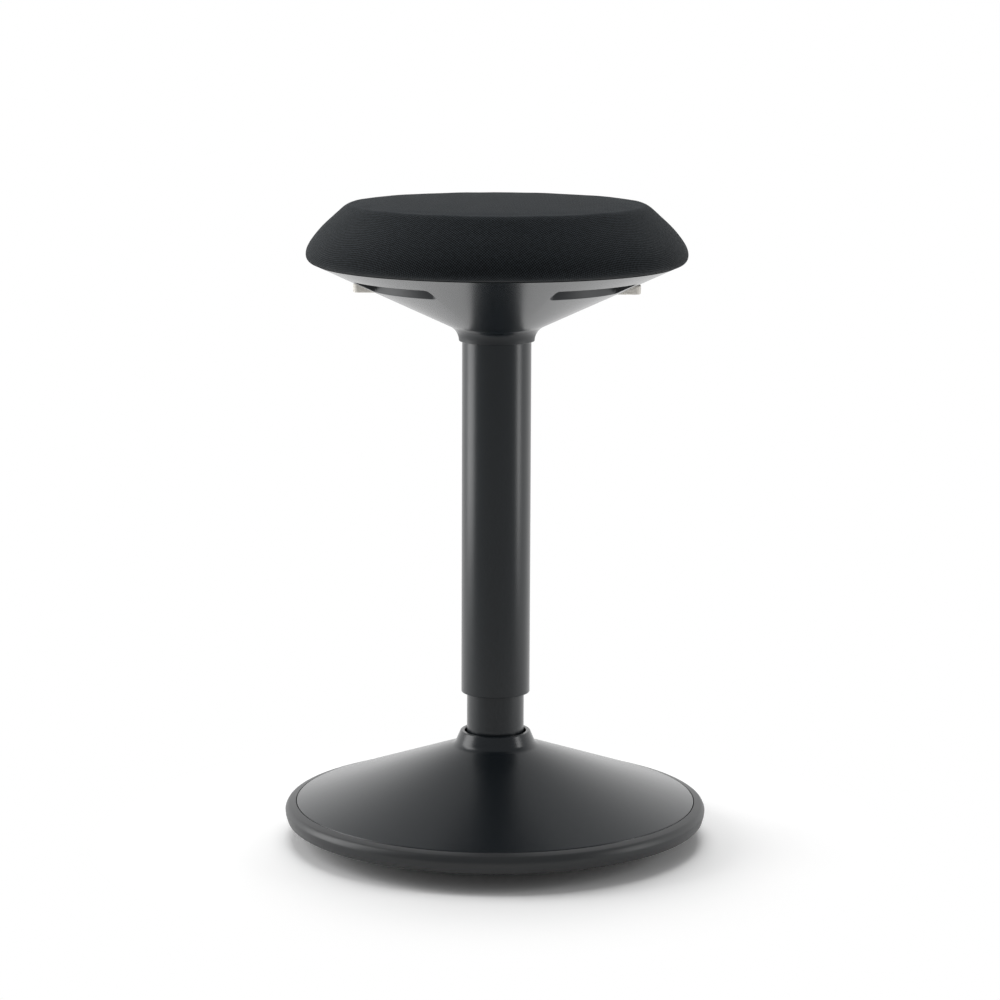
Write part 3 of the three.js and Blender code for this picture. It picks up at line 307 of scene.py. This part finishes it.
def dark_plastic(place):
    """Black moulded plastic with a fine spark-eroded texture."""
    grain = noise_at(place, scale=1100.0, detail=3.0)
    return {
        "Base_Color": noise_at(place, scale=18.0).mix((0.012, 0.013, 0.014), (0.019, 0.02, 0.021)),
        "Roughness": 0.5 + 0.12 * grain,
        "Normal": relief(grain, depth=0.03 * mm),
    }


ring_edge = 185.2 * mm
rim_under = 18.2 * mm
edge_inset = 2.1 * mm
pan_wall = 3.0 * mm
pan_edge = 171.2 * mm
tongue = 4.4 * mm
tongue_thickness = 2.2 * mm
clearance = 0.3 * mm
pad_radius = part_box("floor_pad")[1].x
pad_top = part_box("floor_pad")[1].z
pad_recess = pad_radius + clearance
pocket_radius, boss_wall = 5.6 * mm, 2 * mm
screw_circle = 159.0 * mm
dome_radius = ((ring_edge - edge_inset) ** 2 + rim_under ** 2) / (2 * rim_under)


def dome(radius):
    """How high the ball's surface is above the floor at a radius."""
    return dome_radius - sqrt(dome_radius ** 2 - radius ** 2)


def dome_line(start, end, lift=0.0):
    """Points on the ball, or on one that is lifted, from one radius to another."""
    legs = 12
    radii = (start + (end - start) * i / legs for i in range(legs + 1))
    return [(radius, dome(radius) + lift) for radius in radii]


recess_top = pad_top + clearance
tongue_under = dome(pan_edge) + pan_wall
pan_shape = turned([
    (0.0, recess_top),
    (pad_recess, recess_top),
    *dome_line(pad_recess, pan_edge),
    (pan_edge, tongue_under),
    (pan_edge + tongue, tongue_under),
    (pan_edge + tongue, tongue_under + tongue_thickness),
    (pan_edge - pan_wall, tongue_under + tongue_thickness),
    *dome_line(pan_edge - pan_wall, pad_recess + pan_wall, pan_wall),
    (pad_recess + pan_wall, recess_top + pan_wall),
    (0.0, recess_top + pan_wall),
])
screw_seat = dome(screw_circle) + pan_wall
screw_turns = [pi / 6 + i * pi / 3 for i in range(6)]
screw_places = [(screw_circle * cos(a), screw_circle * sin(a)) for a in screw_turns]
boss_low, boss_high = screw_seat - 1.5 * mm, screw_seat + 1.3 * mm
pocket_low, pocket_high = -2 * mm, screw_seat - 0.3 * mm
bosses = merged(drum(pocket_radius + boss_wall, boss_low, boss_high, *p) for p in screw_places)
pockets = merged(drum(pocket_radius, pocket_low, pocket_high, *p) for p in screw_places)
pan_shape = combined(combined(pan_shape, bosses, "UNION"), pockets)
pan_finish = paint("dark_plastic", dark_plastic, IOR=1.5)
finished("rocker_pan_moulding", pan_shape, "dark_plastic", "root", pan_finish, "rocker_pan")


# Foot: a soft black rubber disc let into the middle of the underside, with rings of tread so that the
# stool grips the floor while it rocks.
def rubber(place):
    grain = noise_at(place, scale=700.0, detail=4.0)
    dust = noise_at(place, scale=26.0, detail=5.0).between(0.5, 0.8)
    return {
        "Base_Color": dust.mix((0.011, 0.011, 0.012), (0.03, 0.029, 0.028)),
        "Roughness": 0.78 + 0.15 * grain,
        "Normal": relief(grain, depth=0.06 * mm),
    }


foot_radius = 45.0 * mm
pad_edge = dome(pad_radius) - 0.8 * mm
grooves, tread = 7, 5.5 * mm
groove_depth, groove_width, groove_round = 0.8 * mm, 1.6 * mm, 0.2 * mm
pad_outline = [(0.0, 0.0)]
for i in range(1, grooves + 1):
    middle = i * tread
    pad_outline += [
        (middle - groove_width / 2, 0.0, groove_round),
        (middle - groove_width / 4, groove_depth),
        (middle + groove_width / 4, groove_depth),
        (middle + groove_width / 2, 0.0, groove_round),
    ]
pad_outline += [
    (foot_radius, 0.0, 1.5 * mm),
    (pad_radius, pad_edge, 0.6 * mm),
    (pad_radius, pad_top),
    (0.0, pad_top),
]
pad_finish = paint("pad_rubber", rubber)
finished("floor_pad_rubber", turned(pad_outline), "pad_rubber", "root", pad_finish, "floor_pad")


# Bumper ring: a thick band of satin rubber pressed round the rim, with a rounded outer edge and a
# fine seam where it meets the cover. A groove inside it grips the pan's lip.
def band(place):
    grain = noise_at(place, scale=1300.0, detail=3.0)
    rub = noise_at(place, scale=9.0, detail=4.0)
    return {
        "Base_Color": rub.mix((0.0165, 0.018, 0.0195), (0.0235, 0.025, 0.0265)),
        "Roughness": 0.36 + 0.1 * rub,
        "Normal": relief(grain, depth=0.025 * mm),
    }


seam_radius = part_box("base_cover")[1].x
cover_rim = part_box("base_cover")[0].z
cover_skirt = 6.6 * mm
seam = cover_rim + cover_skirt
ring_inner = pan_edge + clearance
ring_lip = seam_radius + 0.5 * mm
tongue_top = tongue_under + tongue_thickness
ring_outline = [
    (ring_inner, dome(ring_inner)),
    (ring_edge - edge_inset, rim_under, 0.9 * mm),
    (ring_edge, rim_under + 6.8 * mm, 2.4 * mm),
    (ring_edge, rim_under + 10.2 * mm, 1.6 * mm),
    (ring_edge - 2.2 * mm, rim_under + 14.2 * mm, 1.7 * mm),
    (ring_lip, seam - 0.2 * mm, 0.5 * mm),
    (ring_lip, cover_rim - clearance),
    (ring_inner, cover_rim - clearance),
    (ring_inner, tongue_top + clearance),
    (pan_edge + tongue + clearance, tongue_top + clearance),
    (pan_edge + tongue + clearance, tongue_under - clearance),
    (ring_inner, tongue_under - clearance),
]
ring_finish = paint("ring_rubber", band, IOR=1.5)
finished("bumper_band", turned(ring_outline, steps=256), "ring_rubber", "root", ring_finish, "bumper_ring")


# Base cover: one shallow cone, moulded in fine-grained satin plastic, that sweeps up into a short
# collar round the column. It is screwed on from below.
def cover_plastic(place):
    grain = noise_at(place, scale=1500.0, detail=3.0)
    cloud = noise_at(place, scale=7.0, detail=3.0)
    return {
        "Base_Color": cloud.mix((0.008, 0.0108, 0.0134), (0.0108, 0.014, 0.017)),
        "Roughness": 0.23 + 0.06 * cloud,
        "Normal": relief(grain, depth=0.02 * mm),
    }


cone_slope = radians(19.65)
cover_wall = 3.0 * mm
collar_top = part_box("base_cover")[1].z
collar_radius, neck_radius, bore_radius = 30.5 * mm, 35.7 * mm, 27.0 * mm


def cone(radius):
    """How high the cover's outside is at a radius."""
    return seam + (seam_radius - radius) * tan(cone_slope)


cover_drop = cover_wall / cos(cone_slope)
cover_outline = [
    (seam_radius, cover_rim),
    (seam_radius, seam, 0.8 * mm),
    (neck_radius, cone(neck_radius), 3.6 * mm),
    (collar_radius, collar_top, 0.9 * mm),
    (bore_radius, collar_top, 0.8 * mm),
    (bore_radius, collar_top - cover_wall),
    (neck_radius - cover_wall, cone(neck_radius - cover_wall) - cover_drop, 2.0 * mm),
    (seam_radius - cover_wall, cone(seam_radius - cover_wall) - cover_drop),
    (seam_radius - cover_wall, cover_rim),
]
cover_finish = paint("cover_plastic", cover_plastic, IOR=1.5)
finished("base_cone", turned(cover_outline, steps=256), "cover_plastic", "root", cover_finish, "base_cover")


# Column: a steel tube wedged in the base, and a wider sleeve that hangs from the seat and slides
# down over it. Both are powder-coated, with the faint orange peel that such a coat has.
def coat(place):
    peel = noise_at(place, scale=420.0, detail=2.0)
    drift = noise_at(place, scale=11.0, detail=3.0)
    return {
        "Base_Color": drift.mix((0.0092, 0.0124, 0.015), (0.0116, 0.0152, 0.018)),
        "Roughness": 0.27 + 0.06 * drift,
        "Normal": relief(peel, depth=0.02 * mm, strength=0.6),
    }


tube_radius, tube_wall, tube_floor, rod_bore = 25.0 * mm, 1.8 * mm, 4.0 * mm, 6.0 * mm
tube_low, tube_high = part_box("column_tube")
hub_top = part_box("column_hub")[1].z
foot_taper = radians(1.43)
foot_tip = tube_radius - (hub_top - tube_low.z) * tan(foot_taper)
tube_finish = paint("tube_paint", coat, IOR=1.5)
tube_shape = turned([
    (rod_bore, tube_low.z),
    (foot_tip, tube_low.z, 1.2 * mm),
    (tube_radius, hub_top),
    (tube_radius, tube_high.z, 0.4 * mm),
    (tube_radius - tube_wall, tube_high.z, 0.4 * mm),
    (tube_radius - tube_wall, hub_top),
    (foot_tip - tube_wall, tube_low.z + tube_floor),
    (rod_bore, tube_low.z + tube_floor),
], steps=128)
finished("column_tube_steel", tube_shape, "tube_paint", "root", tube_finish, "column_tube")

sleeve_radius, sleeve_wall = 30.0 * mm, 1.5 * mm
sleeve_low, sleeve_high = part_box("column_sleeve")
sleeve_shape = turned([
    (sleeve_radius - sleeve_wall, sleeve_low.z, 0.3 * mm),
    (sleeve_radius, sleeve_low.z, 0.5 * mm),
    (sleeve_radius, sleeve_high.z, 0.5 * mm),
    (sleeve_radius - sleeve_wall, sleeve_high.z, 0.3 * mm),
], steps=160)
finished("column_sleeve_steel", sleeve_shape, "tube_paint", "seat", tube_finish, "column_sleeve")


# Seat shell: a moulded cone under the cushion. Four finger recesses are cut up into it, each with a
# curved wall and a flat ceiling, and each paddle looks out through a slot between two of them.
def shell_plastic(place):
    """Satin on the cone. The upright walls leave the mould sideways, so they are textured and duller."""
    grain = noise_at(place, scale=1500.0, detail=3.0)
    cloud = noise_at(place, scale=9.0, detail=3.0)
    facing_down = place.make("SeparateXYZ", output=2, Vector=place.make("NewGeometry", output=1))
    upright = 1.0 - facing_down.calculate("ABSOLUTE", facing_down).between(0.3, 0.7)
    return {
        "Base_Color": cloud.mix((0.008, 0.0108, 0.0134), (0.0108, 0.014, 0.017)),
        "Roughness": 0.2 + 0.06 * cloud + 0.24 * upright,
        "Normal": relief(grain, depth=0.01 * mm),
    }


shell_slope, shell_wall = radians(24.93), 3.0 * mm
shell_low, shell_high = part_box("seat_shell")
shell_rim = shell_high.x
shell_collar = 32.8 * mm
shell_bore = sleeve_radius + 0.8 * mm
collar_band = 9.3 * mm
shell_steps = 250


def shell_height(radius):
    """How high the cone's outside is at a radius."""
    return shell_low.z + collar_band + (radius - shell_collar) * tan(shell_slope)


shell_lift = shell_wall / cos(shell_slope)
shell_body = turned([
    (0.0, shell_low.z),
    (shell_collar, shell_low.z, 0.8 * mm),
    (shell_collar, shell_height(shell_collar), 8.5 * mm),
    (shell_rim, shell_high.z, 0.3 * mm),
    (0.0, shell_high.z),
], shell_steps)
rim_inner = shell_rim - shell_lift / tan(shell_slope)
over = 2.0 * mm
hollow = turned([
    (0.0, shell_low.z - over),
    (shell_bore, shell_low.z - over),
    (shell_bore, shell_height(shell_bore) + shell_lift, 8.0 * mm),
    (rim_inner, shell_high.z),
    (rim_inner, shell_high.z + over),
    (0.0, shell_high.z + over),
], steps=128)

recess_outer = shell_rim - 22.6 * mm
recess_inner = recess_outer - 19.9 * mm
recess_ceiling = shell_height(recess_outer)
beyond = shell_rim + over
recess_start, recess_end = radians(24), radians(64)
slot_half, recess_wall = 10.0 * mm, 3.0 * mm
tip_round, paddle_round, ceiling_round, opening_round = 5.0 * mm, 2.7 * mm, 2.2 * mm, 0.6 * mm


def polar(radius, turn, x=0.0, y=0.0):
    """The place at a distance and an angle from another."""
    return x + radius * cos(turn), y + radius * sin(turn)


def round_off(shape, edges, setback, segments):
    """Rounds edges, starting from the setback on both sides of each."""
    bmesh.ops.bevel(
        shape, geom=edges, offset=setback, offset_type="OFFSET", segments=segments, profile=0.5,
        affect="EDGES", material=-1,
    )


def finger_recess(x_side, y_side, grow, ceiling):
    """The space of one recess, grown outwards by a wall. Its curve turns where the cone's faces meet."""
    step, legs = 2 * pi / shell_steps, 8
    tip_tilt, paddle_tilt = (asin(r / (recess_inner + r)) for r in (tip_round, paddle_round))
    plan = []
    for end, turn, corner_round, tilt in (
        (-1, recess_start - pi / 2, tip_round, tip_tilt),
        (1, recess_end - pi / 2, paddle_round, paddle_tilt),
    ):
        corner = polar(recess_inner + corner_round, turn - end * tilt)
        outwards = turn + end * pi / 2
        sweep = [outwards + end * (pi / 2 - tilt) * i / legs for i in range(legs + 1)]
        side = [polar(beyond, turn, *polar(grow, outwards))]
        side += [polar(corner_round + grow, a, *corner) for a in sweep]
        plan += side[::-end]
        if end == -1:
            meridians = (i * step for i in range(-shell_steps, 0))
            span = (turn + tilt + step / 3, recess_end - pi / 2 - paddle_tilt - step / 3)
            plan += [polar(recess_inner - grow, a) for a in meridians if span[0] < a < span[1]]
    shape = bmesh.new()
    base = shape.faces.new([shape.verts.new((x_side * x, y_side * y, shell_low.z - over)) for x, y in plan])
    raised = bmesh.ops.extrude_face_region(shape, geom=[base])["geom"]
    tops = [v for v in raised if isinstance(v, bmesh.types.BMVert)]
    bmesh.ops.translate(shape, verts=tops, vec=(0, 0, ceiling - shell_low.z + over))
    bmesh.ops.recalc_face_normals(shape, faces=shape.faces[:])
    edges = [e for e in raised if isinstance(e, bmesh.types.BMEdge)]
    inside = [e for e in edges if min(v.co.xy.length for v in e.verts) < shell_rim]
    round_off(shape, inside, ceiling_round + grow, segments=6)
    return shape


def block(x, y, z):
    """A square block between two places on each axis."""
    shape = bmesh.new()
    size = Vector((x[1] - x[0], y[1] - y[0], z[1] - z[0]))
    middle = Vector((x[0] + x[1], y[0] + y[1], z[0] + z[1])) / 2
    place = Matrix.Translation(middle) @ Matrix.Diagonal((*size, 1.0))
    bmesh.ops.create_cube(shape, size=1.0, matrix=place)
    return shape


quarters = [(1, 1), (-1, 1), (-1, -1), (1, -1)]
slot_floor, slot_ceiling = 482.0 * mm, 501.0 * mm
slot_inner = shell_rim - (shell_high.z - slot_floor) / tan(shell_slope)
slot_cut = 60.0 * mm
screw_x, screw_y = polar((recess_inner + recess_outer) / 2, (recess_start + recess_end - pi) / 2)
screw_boss, screw_sink, screw_hole = 8.0 * mm, 5.2 * mm, 2.4 * mm
screw_step = recess_ceiling + shell_wall + 1.3 * mm
shell_screws = [(x_side * screw_x, -y_side * screw_y) for x_side, y_side in quarters]
for x_side, y_side in quarters:
    hollow = combined(hollow, finger_recess(x_side, y_side, recess_wall, recess_ceiling + shell_wall))
for side in (1, -1):
    span = sorted((side * slot_inner, side * beyond))
    walls = (-slot_half - recess_wall, slot_half + recess_wall)
    hollow = combined(hollow, block(span, walls, (shell_low.z - over, slot_ceiling + shell_wall)))
hollow = combined(hollow, merged(drum(screw_boss, recess_ceiling, shell_high.z, *p) for p in shell_screws))
shell_body = combined(shell_body, hollow)
for x_side, y_side in quarters:
    shell_body = combined(shell_body, finger_recess(x_side, y_side, 0.0, recess_ceiling))
for side in (1, -1):
    span = sorted((side * slot_cut, side * beyond))
    shell_body = combined(shell_body, block(span, (-slot_half, slot_half), (slot_floor, slot_ceiling)))
sinks = merged(drum(screw_sink, recess_ceiling - over, screw_step, *p) for p in shell_screws)
holes = merged(drum(screw_hole, screw_step - over, shell_high.z + over, *p) for p in shell_screws)
shell_body = combined(combined(shell_body, sinks), holes)


def cone_normal(place):
    """The direction in which an exact cone faces at a place."""
    return Vector((*place.xy.normalized() * sin(shell_slope), -cos(shell_slope)))


def on_cone(normal, place):
    return normal.dot(cone_normal(place)) > cos(radians(1.5))


bmesh.ops.remove_doubles(shell_body, verts=shell_body.verts[:], dist=0.02 * mm)
openings = []
for edge in shell_body.edges:
    outside = shell_collar + 20 * mm < edge.verts[0].co.xy.length < shell_rim - over
    if outside and len(edge.link_faces) == 2 and edge.calc_face_angle() > radians(20):
        sides = [on_cone(f.normal, f.calc_center_median()) for f in edge.link_faces]
        if sides[0] != sides[1]:
            openings.append(edge)
round_off(shell_body, openings, opening_round, segments=3)
shell_finish = paint("shell_plastic", shell_plastic, IOR=1.5)
shell = finished("seat_shell_moulding", shell_body, "shell_plastic", "seat", shell_finish, "seat_shell")

# The cone is made of flat strips, so their corners are given the directions of an exact cone.
shell_normals = []
for face in shell.data.polygons:
    for index in face.loop_indices:
        place = shell.data.vertices[shell.data.loops[index].vertex_index].co
        outside = place.xy.length > shell_collar + 12 * mm
        exact = outside and on_cone(face.normal, place)
        shell_normals.append(cone_normal(place) if exact else Vector())
shell.data.normals_split_custom_set(shell_normals)


# Release paddles: one ivory nylon pad on each side, moulded over the end of a steel arm. Pressing
# either up lets the seat rise or sink.
def ivory(place):
    cloud = noise_at(place, scale=60.0, detail=3.0)
    return {
        "Base_Color": cloud.mix((0.77, 0.74, 0.675), (0.81, 0.78, 0.72)),
        "Roughness": 0.42 + 0.1 * cloud,
        "Normal": relief(noise_at(place, scale=1500.0), depth=0.015 * mm),
    }


paddle_corner, paddle_rim = 4.5 * mm, 1.2 * mm
ivory_finish = paint("ivory_plastic", ivory, IOR=1.5)
for side in ("right", "left"):
    low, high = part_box(f"paddle_{side}")
    pad = block((low.x, high.x), (low.y, high.y), (low.z, high.z))
    upright = [e for e in pad.edges if abs(e.verts[0].co.z - e.verts[1].co.z) > 1 * mm]
    round_off(pad, upright, paddle_corner, segments=8)
    rims = [e for e in pad.edges if len({abs(f.normal.z) > 0.5 for f in e.link_faces}) == 2]
    round_off(pad, rims, paddle_rim, segments=5)
    finished(f"paddle_pad_{side}", pad, "ivory_plastic", f"lever_{side}", ivory_finish, f"paddle_{side}")


# Foam: a moulded polyurethane pad, open-celled and cream, glued over the plywood board and down round
# its edge. Its side draws in to a soft crease, and its top is nearly flat.
cover_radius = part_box("seat_cover")[1].x
cushion_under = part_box("seat_cover")[0].z
cushion_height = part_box("seat_cover")[1].z - cushion_under
crown, crease_radius, crease_round = 3.0 * mm, 128.7 * mm, 4.8 * mm
shoulder, under_round = 8.4 * mm, 8.2 * mm
under_radius = cover_radius - under_round
cloth_thickness = 1.4 * mm
board_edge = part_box("seat_board")[1].x
nut_flange = 1.5 * mm
board_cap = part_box("seat_board")[1].z + nut_flange + 2 * clearance
foam_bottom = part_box("seat_foam")[0].z


def bend(start, first, second, end, count):
    """Points of a curve with two handles, without its last one."""
    def at(t):
        weights = ((1 - t) ** 3, 3 * (1 - t) ** 2 * t, 3 * (1 - t) * t * t, t ** 3)
        places = (start, first, second, end)
        return tuple(sum(w * p[k] for w, p in zip(weights, places)) for k in (0, 1))

    return [at(i / count) for i in range(count)]


def cushion_line():
    """The cushion's side view, from its flat underside over the shoulder and the crease to the middle."""
    crease = cushion_height - crown
    under = (under_radius, 0.0)
    widest = (cover_radius, shoulder)
    flank_end = (crease_radius + crease_round, crease - crease_round * 0.74)
    crease_end = (crease_radius - crease_round * 0.42, crease)
    middle = (0.0, cushion_height)
    under_handle = (cover_radius - under_round * 0.31, shoulder * 0.16)
    shoulder_handle = (cover_radius, shoulder * 0.46)
    side_handle = (cover_radius, (shoulder + crease) * 0.31)
    flank_handle = (crease_radius + (cover_radius - crease_radius) * 0.67, crease * 0.59)
    crease_handle = (crease_radius + crease_round * 0.06, crease)
    top_handle = (crease_radius * 0.55, cushion_height)

    def arc(start, handle, end, count):
        """A curve with a single handle."""
        near, far = (tuple(p + (q - p) * 2 / 3 for p, q in zip(a, handle)) for a in (start, end))
        return bend(start, near, far, end, count)

    line = [
        *bend(under, under_handle, shoulder_handle, widest, count=10),
        *bend(widest, side_handle, flank_handle, flank_end, count=22),
        *arc(flank_end, crease_handle, crease_end, count=10),
        *arc(crease_end, top_handle, middle, count=36),
        middle,
    ]
    return [(radius, cushion_under + height) for radius, height in line]


def drawn_in(line, depth):
    """The same line set back into the cushion by a depth."""
    result = []
    for i, (radius, height) in enumerate(line):
        before, after = line[max(i - 1, 0)], line[min(i + 1, len(line) - 1)]
        across, up = after[0] - before[0], after[1] - before[1]
        share = depth / hypot(across, up)
        result.append((max(radius - up * share, 0.0), height + across * share))
    result[0] = (line[0][0], line[0][1] + depth)
    result[-1] = (0.0, result[-1][1])
    return result


def open_foam(place):
    cells = noise_at(place, scale=900.0, detail=3.0)
    return {
        "Base_Color": noise_at(place, scale=12.0).mix((0.62, 0.55, 0.4), (0.7, 0.64, 0.5)),
        "Roughness": 0.9 + 0.1 * cells,
        "Normal": relief(cells, depth=0.3 * mm),
    }


foam_gap = cloth_thickness + 0.4 * mm
foam_shape = turned([
    (0.0, board_cap),
    (board_edge + clearance, board_cap),
    (board_edge + clearance, foam_bottom),
    *drawn_in(cushion_line(), foam_gap),
], steps=160)
foam_pad = finished("cushion_foam", foam_shape, "foam", "seat", paint("foam", open_foam), "seat_foam")


# Seat cover: black knitted mesh stretched over the foam, pulled tight round the edge and stapled under
# the board. It is a simulated cloth, pumped up a little from a slightly smaller start.
def knit(place):
    cloth = place.make("Attribute", {"attribute_name": "cloth"}, 1)
    pitch = 2.6 * mm
    across = cloth.make("SeparateXYZ", output=0, Vector=cloth) * (2 * pi / pitch)
    along = cloth.make("SeparateXYZ", output=1, Vector=cloth) * (2 * pi / pitch)
    loops = across.calculate("SINE", across) * along.calculate("SINE", along)
    yarn = noise_at(cloth, scale=2400.0, detail=2.0)
    height = 0.5 + 0.5 * loops + 0.3 * yarn
    mottle = noise_at(cloth, scale=330.0, detail=2.0).between(0.3, 0.7)
    run = cloth.make("VectorMath", {"operation": "LENGTH"}, 1, i0=cloth)
    # Towards the edge of the top the colour turns paler: a painted highlight, for the light that the top
    # catches near its crease.
    painted_edge_light = run.between(80 * mm, 126 * mm) * (1.0 - run.between(127 * mm, 129 * mm))
    bright = height.between(0.25, 1.05) * (0.72 + 0.52 * mottle + 0.4 * painted_edge_light)
    return {
        "Base_Color": bright.mix((0.0006, 0.0008, 0.001), (0.0252, 0.0305, 0.035)),
        "Roughness": 0.85 + 0.1 * noise_at(cloth, scale=30.0, detail=3.0),
        "Normal": relief(height, depth=0.35 * mm),
    }


hem_radius, hem_overlap = 128.0 * mm, 1.0 * mm
still_below = cushion_under + 1.0 * mm
voxel, swell, most_moved, neighbours = 4.0 * mm, 0.25 * mm, 0.9 * mm, 12
pressure, frames = 4.0, 20


def pump_up(shape):
    """Moves the shape's points as a coarser copy of it moves: a sewn bag of cloth that pressure fills. Its
    flat underside is held still, and the foam inside lets no point move inwards."""
    data = bpy.data.meshes.new("bag")
    shape.to_mesh(data)
    bag = bpy.data.objects.new("bag", data)
    bpy.context.scene.collection.objects.link(bag)
    remesh = bag.modifiers.new("remesh", "REMESH")
    remesh.mode = "VOXEL"
    remesh.voxel_size = voxel
    start = bpy.data.meshes.new_from_object(bag.evaluated_get(bpy.context.evaluated_depsgraph_get()))
    bag.modifiers.clear()
    bag.data = start
    held = bag.vertex_groups.new(name="held")
    held.add([v.index for v in start.vertices if v.co.z < still_below], 1.0, "REPLACE")
    cloth = bag.modifiers.new("cloth", "CLOTH")
    cloth.settings.vertex_group_mass = "held"
    cloth.settings.use_pressure = True
    cloth.settings.uniform_pressure_force = pressure
    cloth.settings.effector_weights.gravity = 0.0
    cloth.point_cache.frame_start, cloth.point_cache.frame_end = 1, frames
    for frame_number in range(1, frames + 1):
        bpy.context.scene.frame_set(frame_number)
    filled = bpy.data.meshes.new_from_object(bag.evaluated_get(bpy.context.evaluated_depsgraph_get()))
    moves = []
    nearby = KDTree(len(start.vertices))
    for before, after in zip(start.vertices, filled.vertices):
        moved = after.co - before.co
        moved -= before.normal * min(0.0, moved.dot(before.normal))
        moves.append(moved * (most_moved / max(moved.length, most_moved)))
        nearby.insert(before.co, before.index)
    nearby.balance()
    for vertex in shape.verts:
        found = nearby.find_n(vertex.co, neighbours)
        shares = [1.0 / (voxel + distance) ** 2 for _, _, distance in found]
        vertex.co += sum((moves[i] * s for (_, i, _), s in zip(found, shares)), Vector()) / sum(shares)
    bpy.data.objects.remove(bag)
    bpy.context.scene.frame_set(1)
    for mesh in (data, start, filled):
        bpy.data.meshes.remove(mesh)


def line_run(line):
    """How far along the cloth each point of the line is from the cushion's middle."""
    runs = [0.0]
    for a, b in zip(line[::-1], line[-2::-1]):
        runs.append(runs[-1] + hypot(b[0] - a[0], b[1] - a[1]))
    return list(zip(line[::-1], runs))


weave_finish = paint("weave", knit, Sheen_Weight=0.06, Sheen_Roughness=0.4, IOR=1.25)
underside = [(radius, cushion_under) for radius in (0.0, hem_radius - hem_overlap, under_radius)]
cover_shape = turned([*underside, *drawn_in(cushion_line(), swell)[1:]], steps=128)
pump_up(cover_shape)
within = {v for v in cover_shape.verts if v.co.z < still_below and v.co.xy.length < hem_radius}
hem_opening = [f for f in cover_shape.faces if within.issuperset(f.verts)]
bmesh.ops.delete(cover_shape, geom=hem_opening, context="FACES")
runs = line_run([(0.0, cushion_under), *cushion_line()])
cloth_layer = cover_shape.verts.layers.float_vector.new("cloth")
for vertex in cover_shape.verts:
    place = (vertex.co.xy.length, vertex.co.z)
    best = (1.0, 0.0)
    for (a, run_a), (b, run_b) in zip(runs, runs[1:]):
        leg = (b[0] - a[0], b[1] - a[1])
        share = ((place[0] - a[0]) * leg[0] + (place[1] - a[1]) * leg[1]) / (leg[0] ** 2 + leg[1] ** 2)
        share = min(1.0, max(0.0, share))
        off = hypot(place[0] - a[0] - share * leg[0], place[1] - a[1] - share * leg[1])
        best = min(best, (off, run_a + share * (run_b - run_a)))
    turn = atan2(vertex.co.y, vertex.co.x)
    vertex[cloth_layer] = Vector((cos(turn), sin(turn), 0.0)) * best[1]
cushion = finished("cushion_cover", cover_shape, "weave", "seat", weave_finish, "seat_cover", sharp=pi)
smooth = cushion.modifiers.new("smooth", "SUBSURF")
smooth.levels = smooth.render_levels = 1
thick = cushion.modifiers.new("thickness", "SOLIDIFY")
thick.thickness = cloth_thickness
thick.offset = -1.0


# Everything inside: pressed and turned steel parts, black or zinc-plated, a ground rod and bearing, a cast
# ballast plate, nylon bushes and glides, a rubber buffer and a birch plywood board. They are wedged,
# clipped or screwed together, and keep the shapes of the CAD parts.
def grained(dark, light, roughness, grain_scale):
    """A finish that wanders between two shades with a fine grain."""
    def recipe(place):
        grain = noise_at(place, scale=grain_scale, detail=4.0)
        return {
            "Base_Color": grain.mix(dark, light),
            "Roughness": roughness + 0.15 * grain,
            "Normal": relief(grain, depth=0.03 * mm),
        }

    return recipe


def plywood(place):
    """Birch plies of 1.5 mm, every second one across the grain and darker at the board's edge."""
    turns = place.make("SeparateXYZ", output=2, Vector=place) * (pi / (1.5 * mm))
    edge = turns.calculate("SINE", turns).between(-0.3, 0.3)
    drawn = place.make("VectorMath", {"operation": "MULTIPLY"}, i0=place, i1=(1.0, 9.0, 9.0))
    grain = noise_at(drawn, scale=24.0, detail=5.0)
    return {
        "Base_Color": (0.35 * edge + 0.65 * grain).mix((0.38, 0.23, 0.11), (0.62, 0.45, 0.28)),
        "Roughness": 0.55 + 0.2 * grain,
        "Normal": relief(grain, depth=0.1 * mm),
    }


finishes = {"dark_plastic": pan_finish, "pad_rubber": pad_finish, "plywood": paint("plywood", plywood)}
for slot_name, dark, light, roughness, grain_scale, metallic in (
    ("black_steel", (0.012, 0.012, 0.013), (0.03, 0.03, 0.032), 0.35, 160.0, 0.7),
    ("zinc_steel", (0.36, 0.37, 0.38), (0.5, 0.51, 0.5), 0.25, 300.0, 1.0),
    ("bright_steel", (0.5, 0.5, 0.51), (0.62, 0.62, 0.63), 0.12, 500.0, 1.0),
    ("cast_iron", (0.03, 0.03, 0.032), (0.06, 0.058, 0.056), 0.6, 500.0, 0.4),
    ("bush_plastic", (0.55, 0.54, 0.5), (0.62, 0.61, 0.57), 0.4, 90.0, 0.0),
):
    recipe = grained(dark, light, roughness, grain_scale)
    finishes[slot_name] = paint(slot_name, recipe, Metallic=metallic)
zinc_names = (
    "pan_screw", "hub_screw", "seat_bolt", "tee_nut", "shell_screw", "pivot_pin", "rod_washer", "rod_clip",
)
node_slots = {
    "black_steel": [
        "column_hub", "gas_cylinder", "taper_socket", "lever_tray", "lever_arm_right", "lever_arm_left",
    ],
    "zinc_steel": [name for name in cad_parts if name.startswith(zinc_names)],
    "bright_steel": [
        "bearing_race_lower", "bearing_race_upper", "bearing_balls", "piston_rod", "valve_button",
    ],
    "cast_iron": ["ballast_plate"],
    "bush_plastic": ["guide_bush", "piston", "release_spool"],
    "dark_plastic": ["sleeve_glide", "sleeve_carrier"],
    "pad_rubber": ["rod_buffer"],
    "plywood": ["seat_board"],
}
for slot_name, names in node_slots.items():
    for name in names:
        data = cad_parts[name].data
        data.materials.clear()
        data.materials.append(finishes[slot_name])
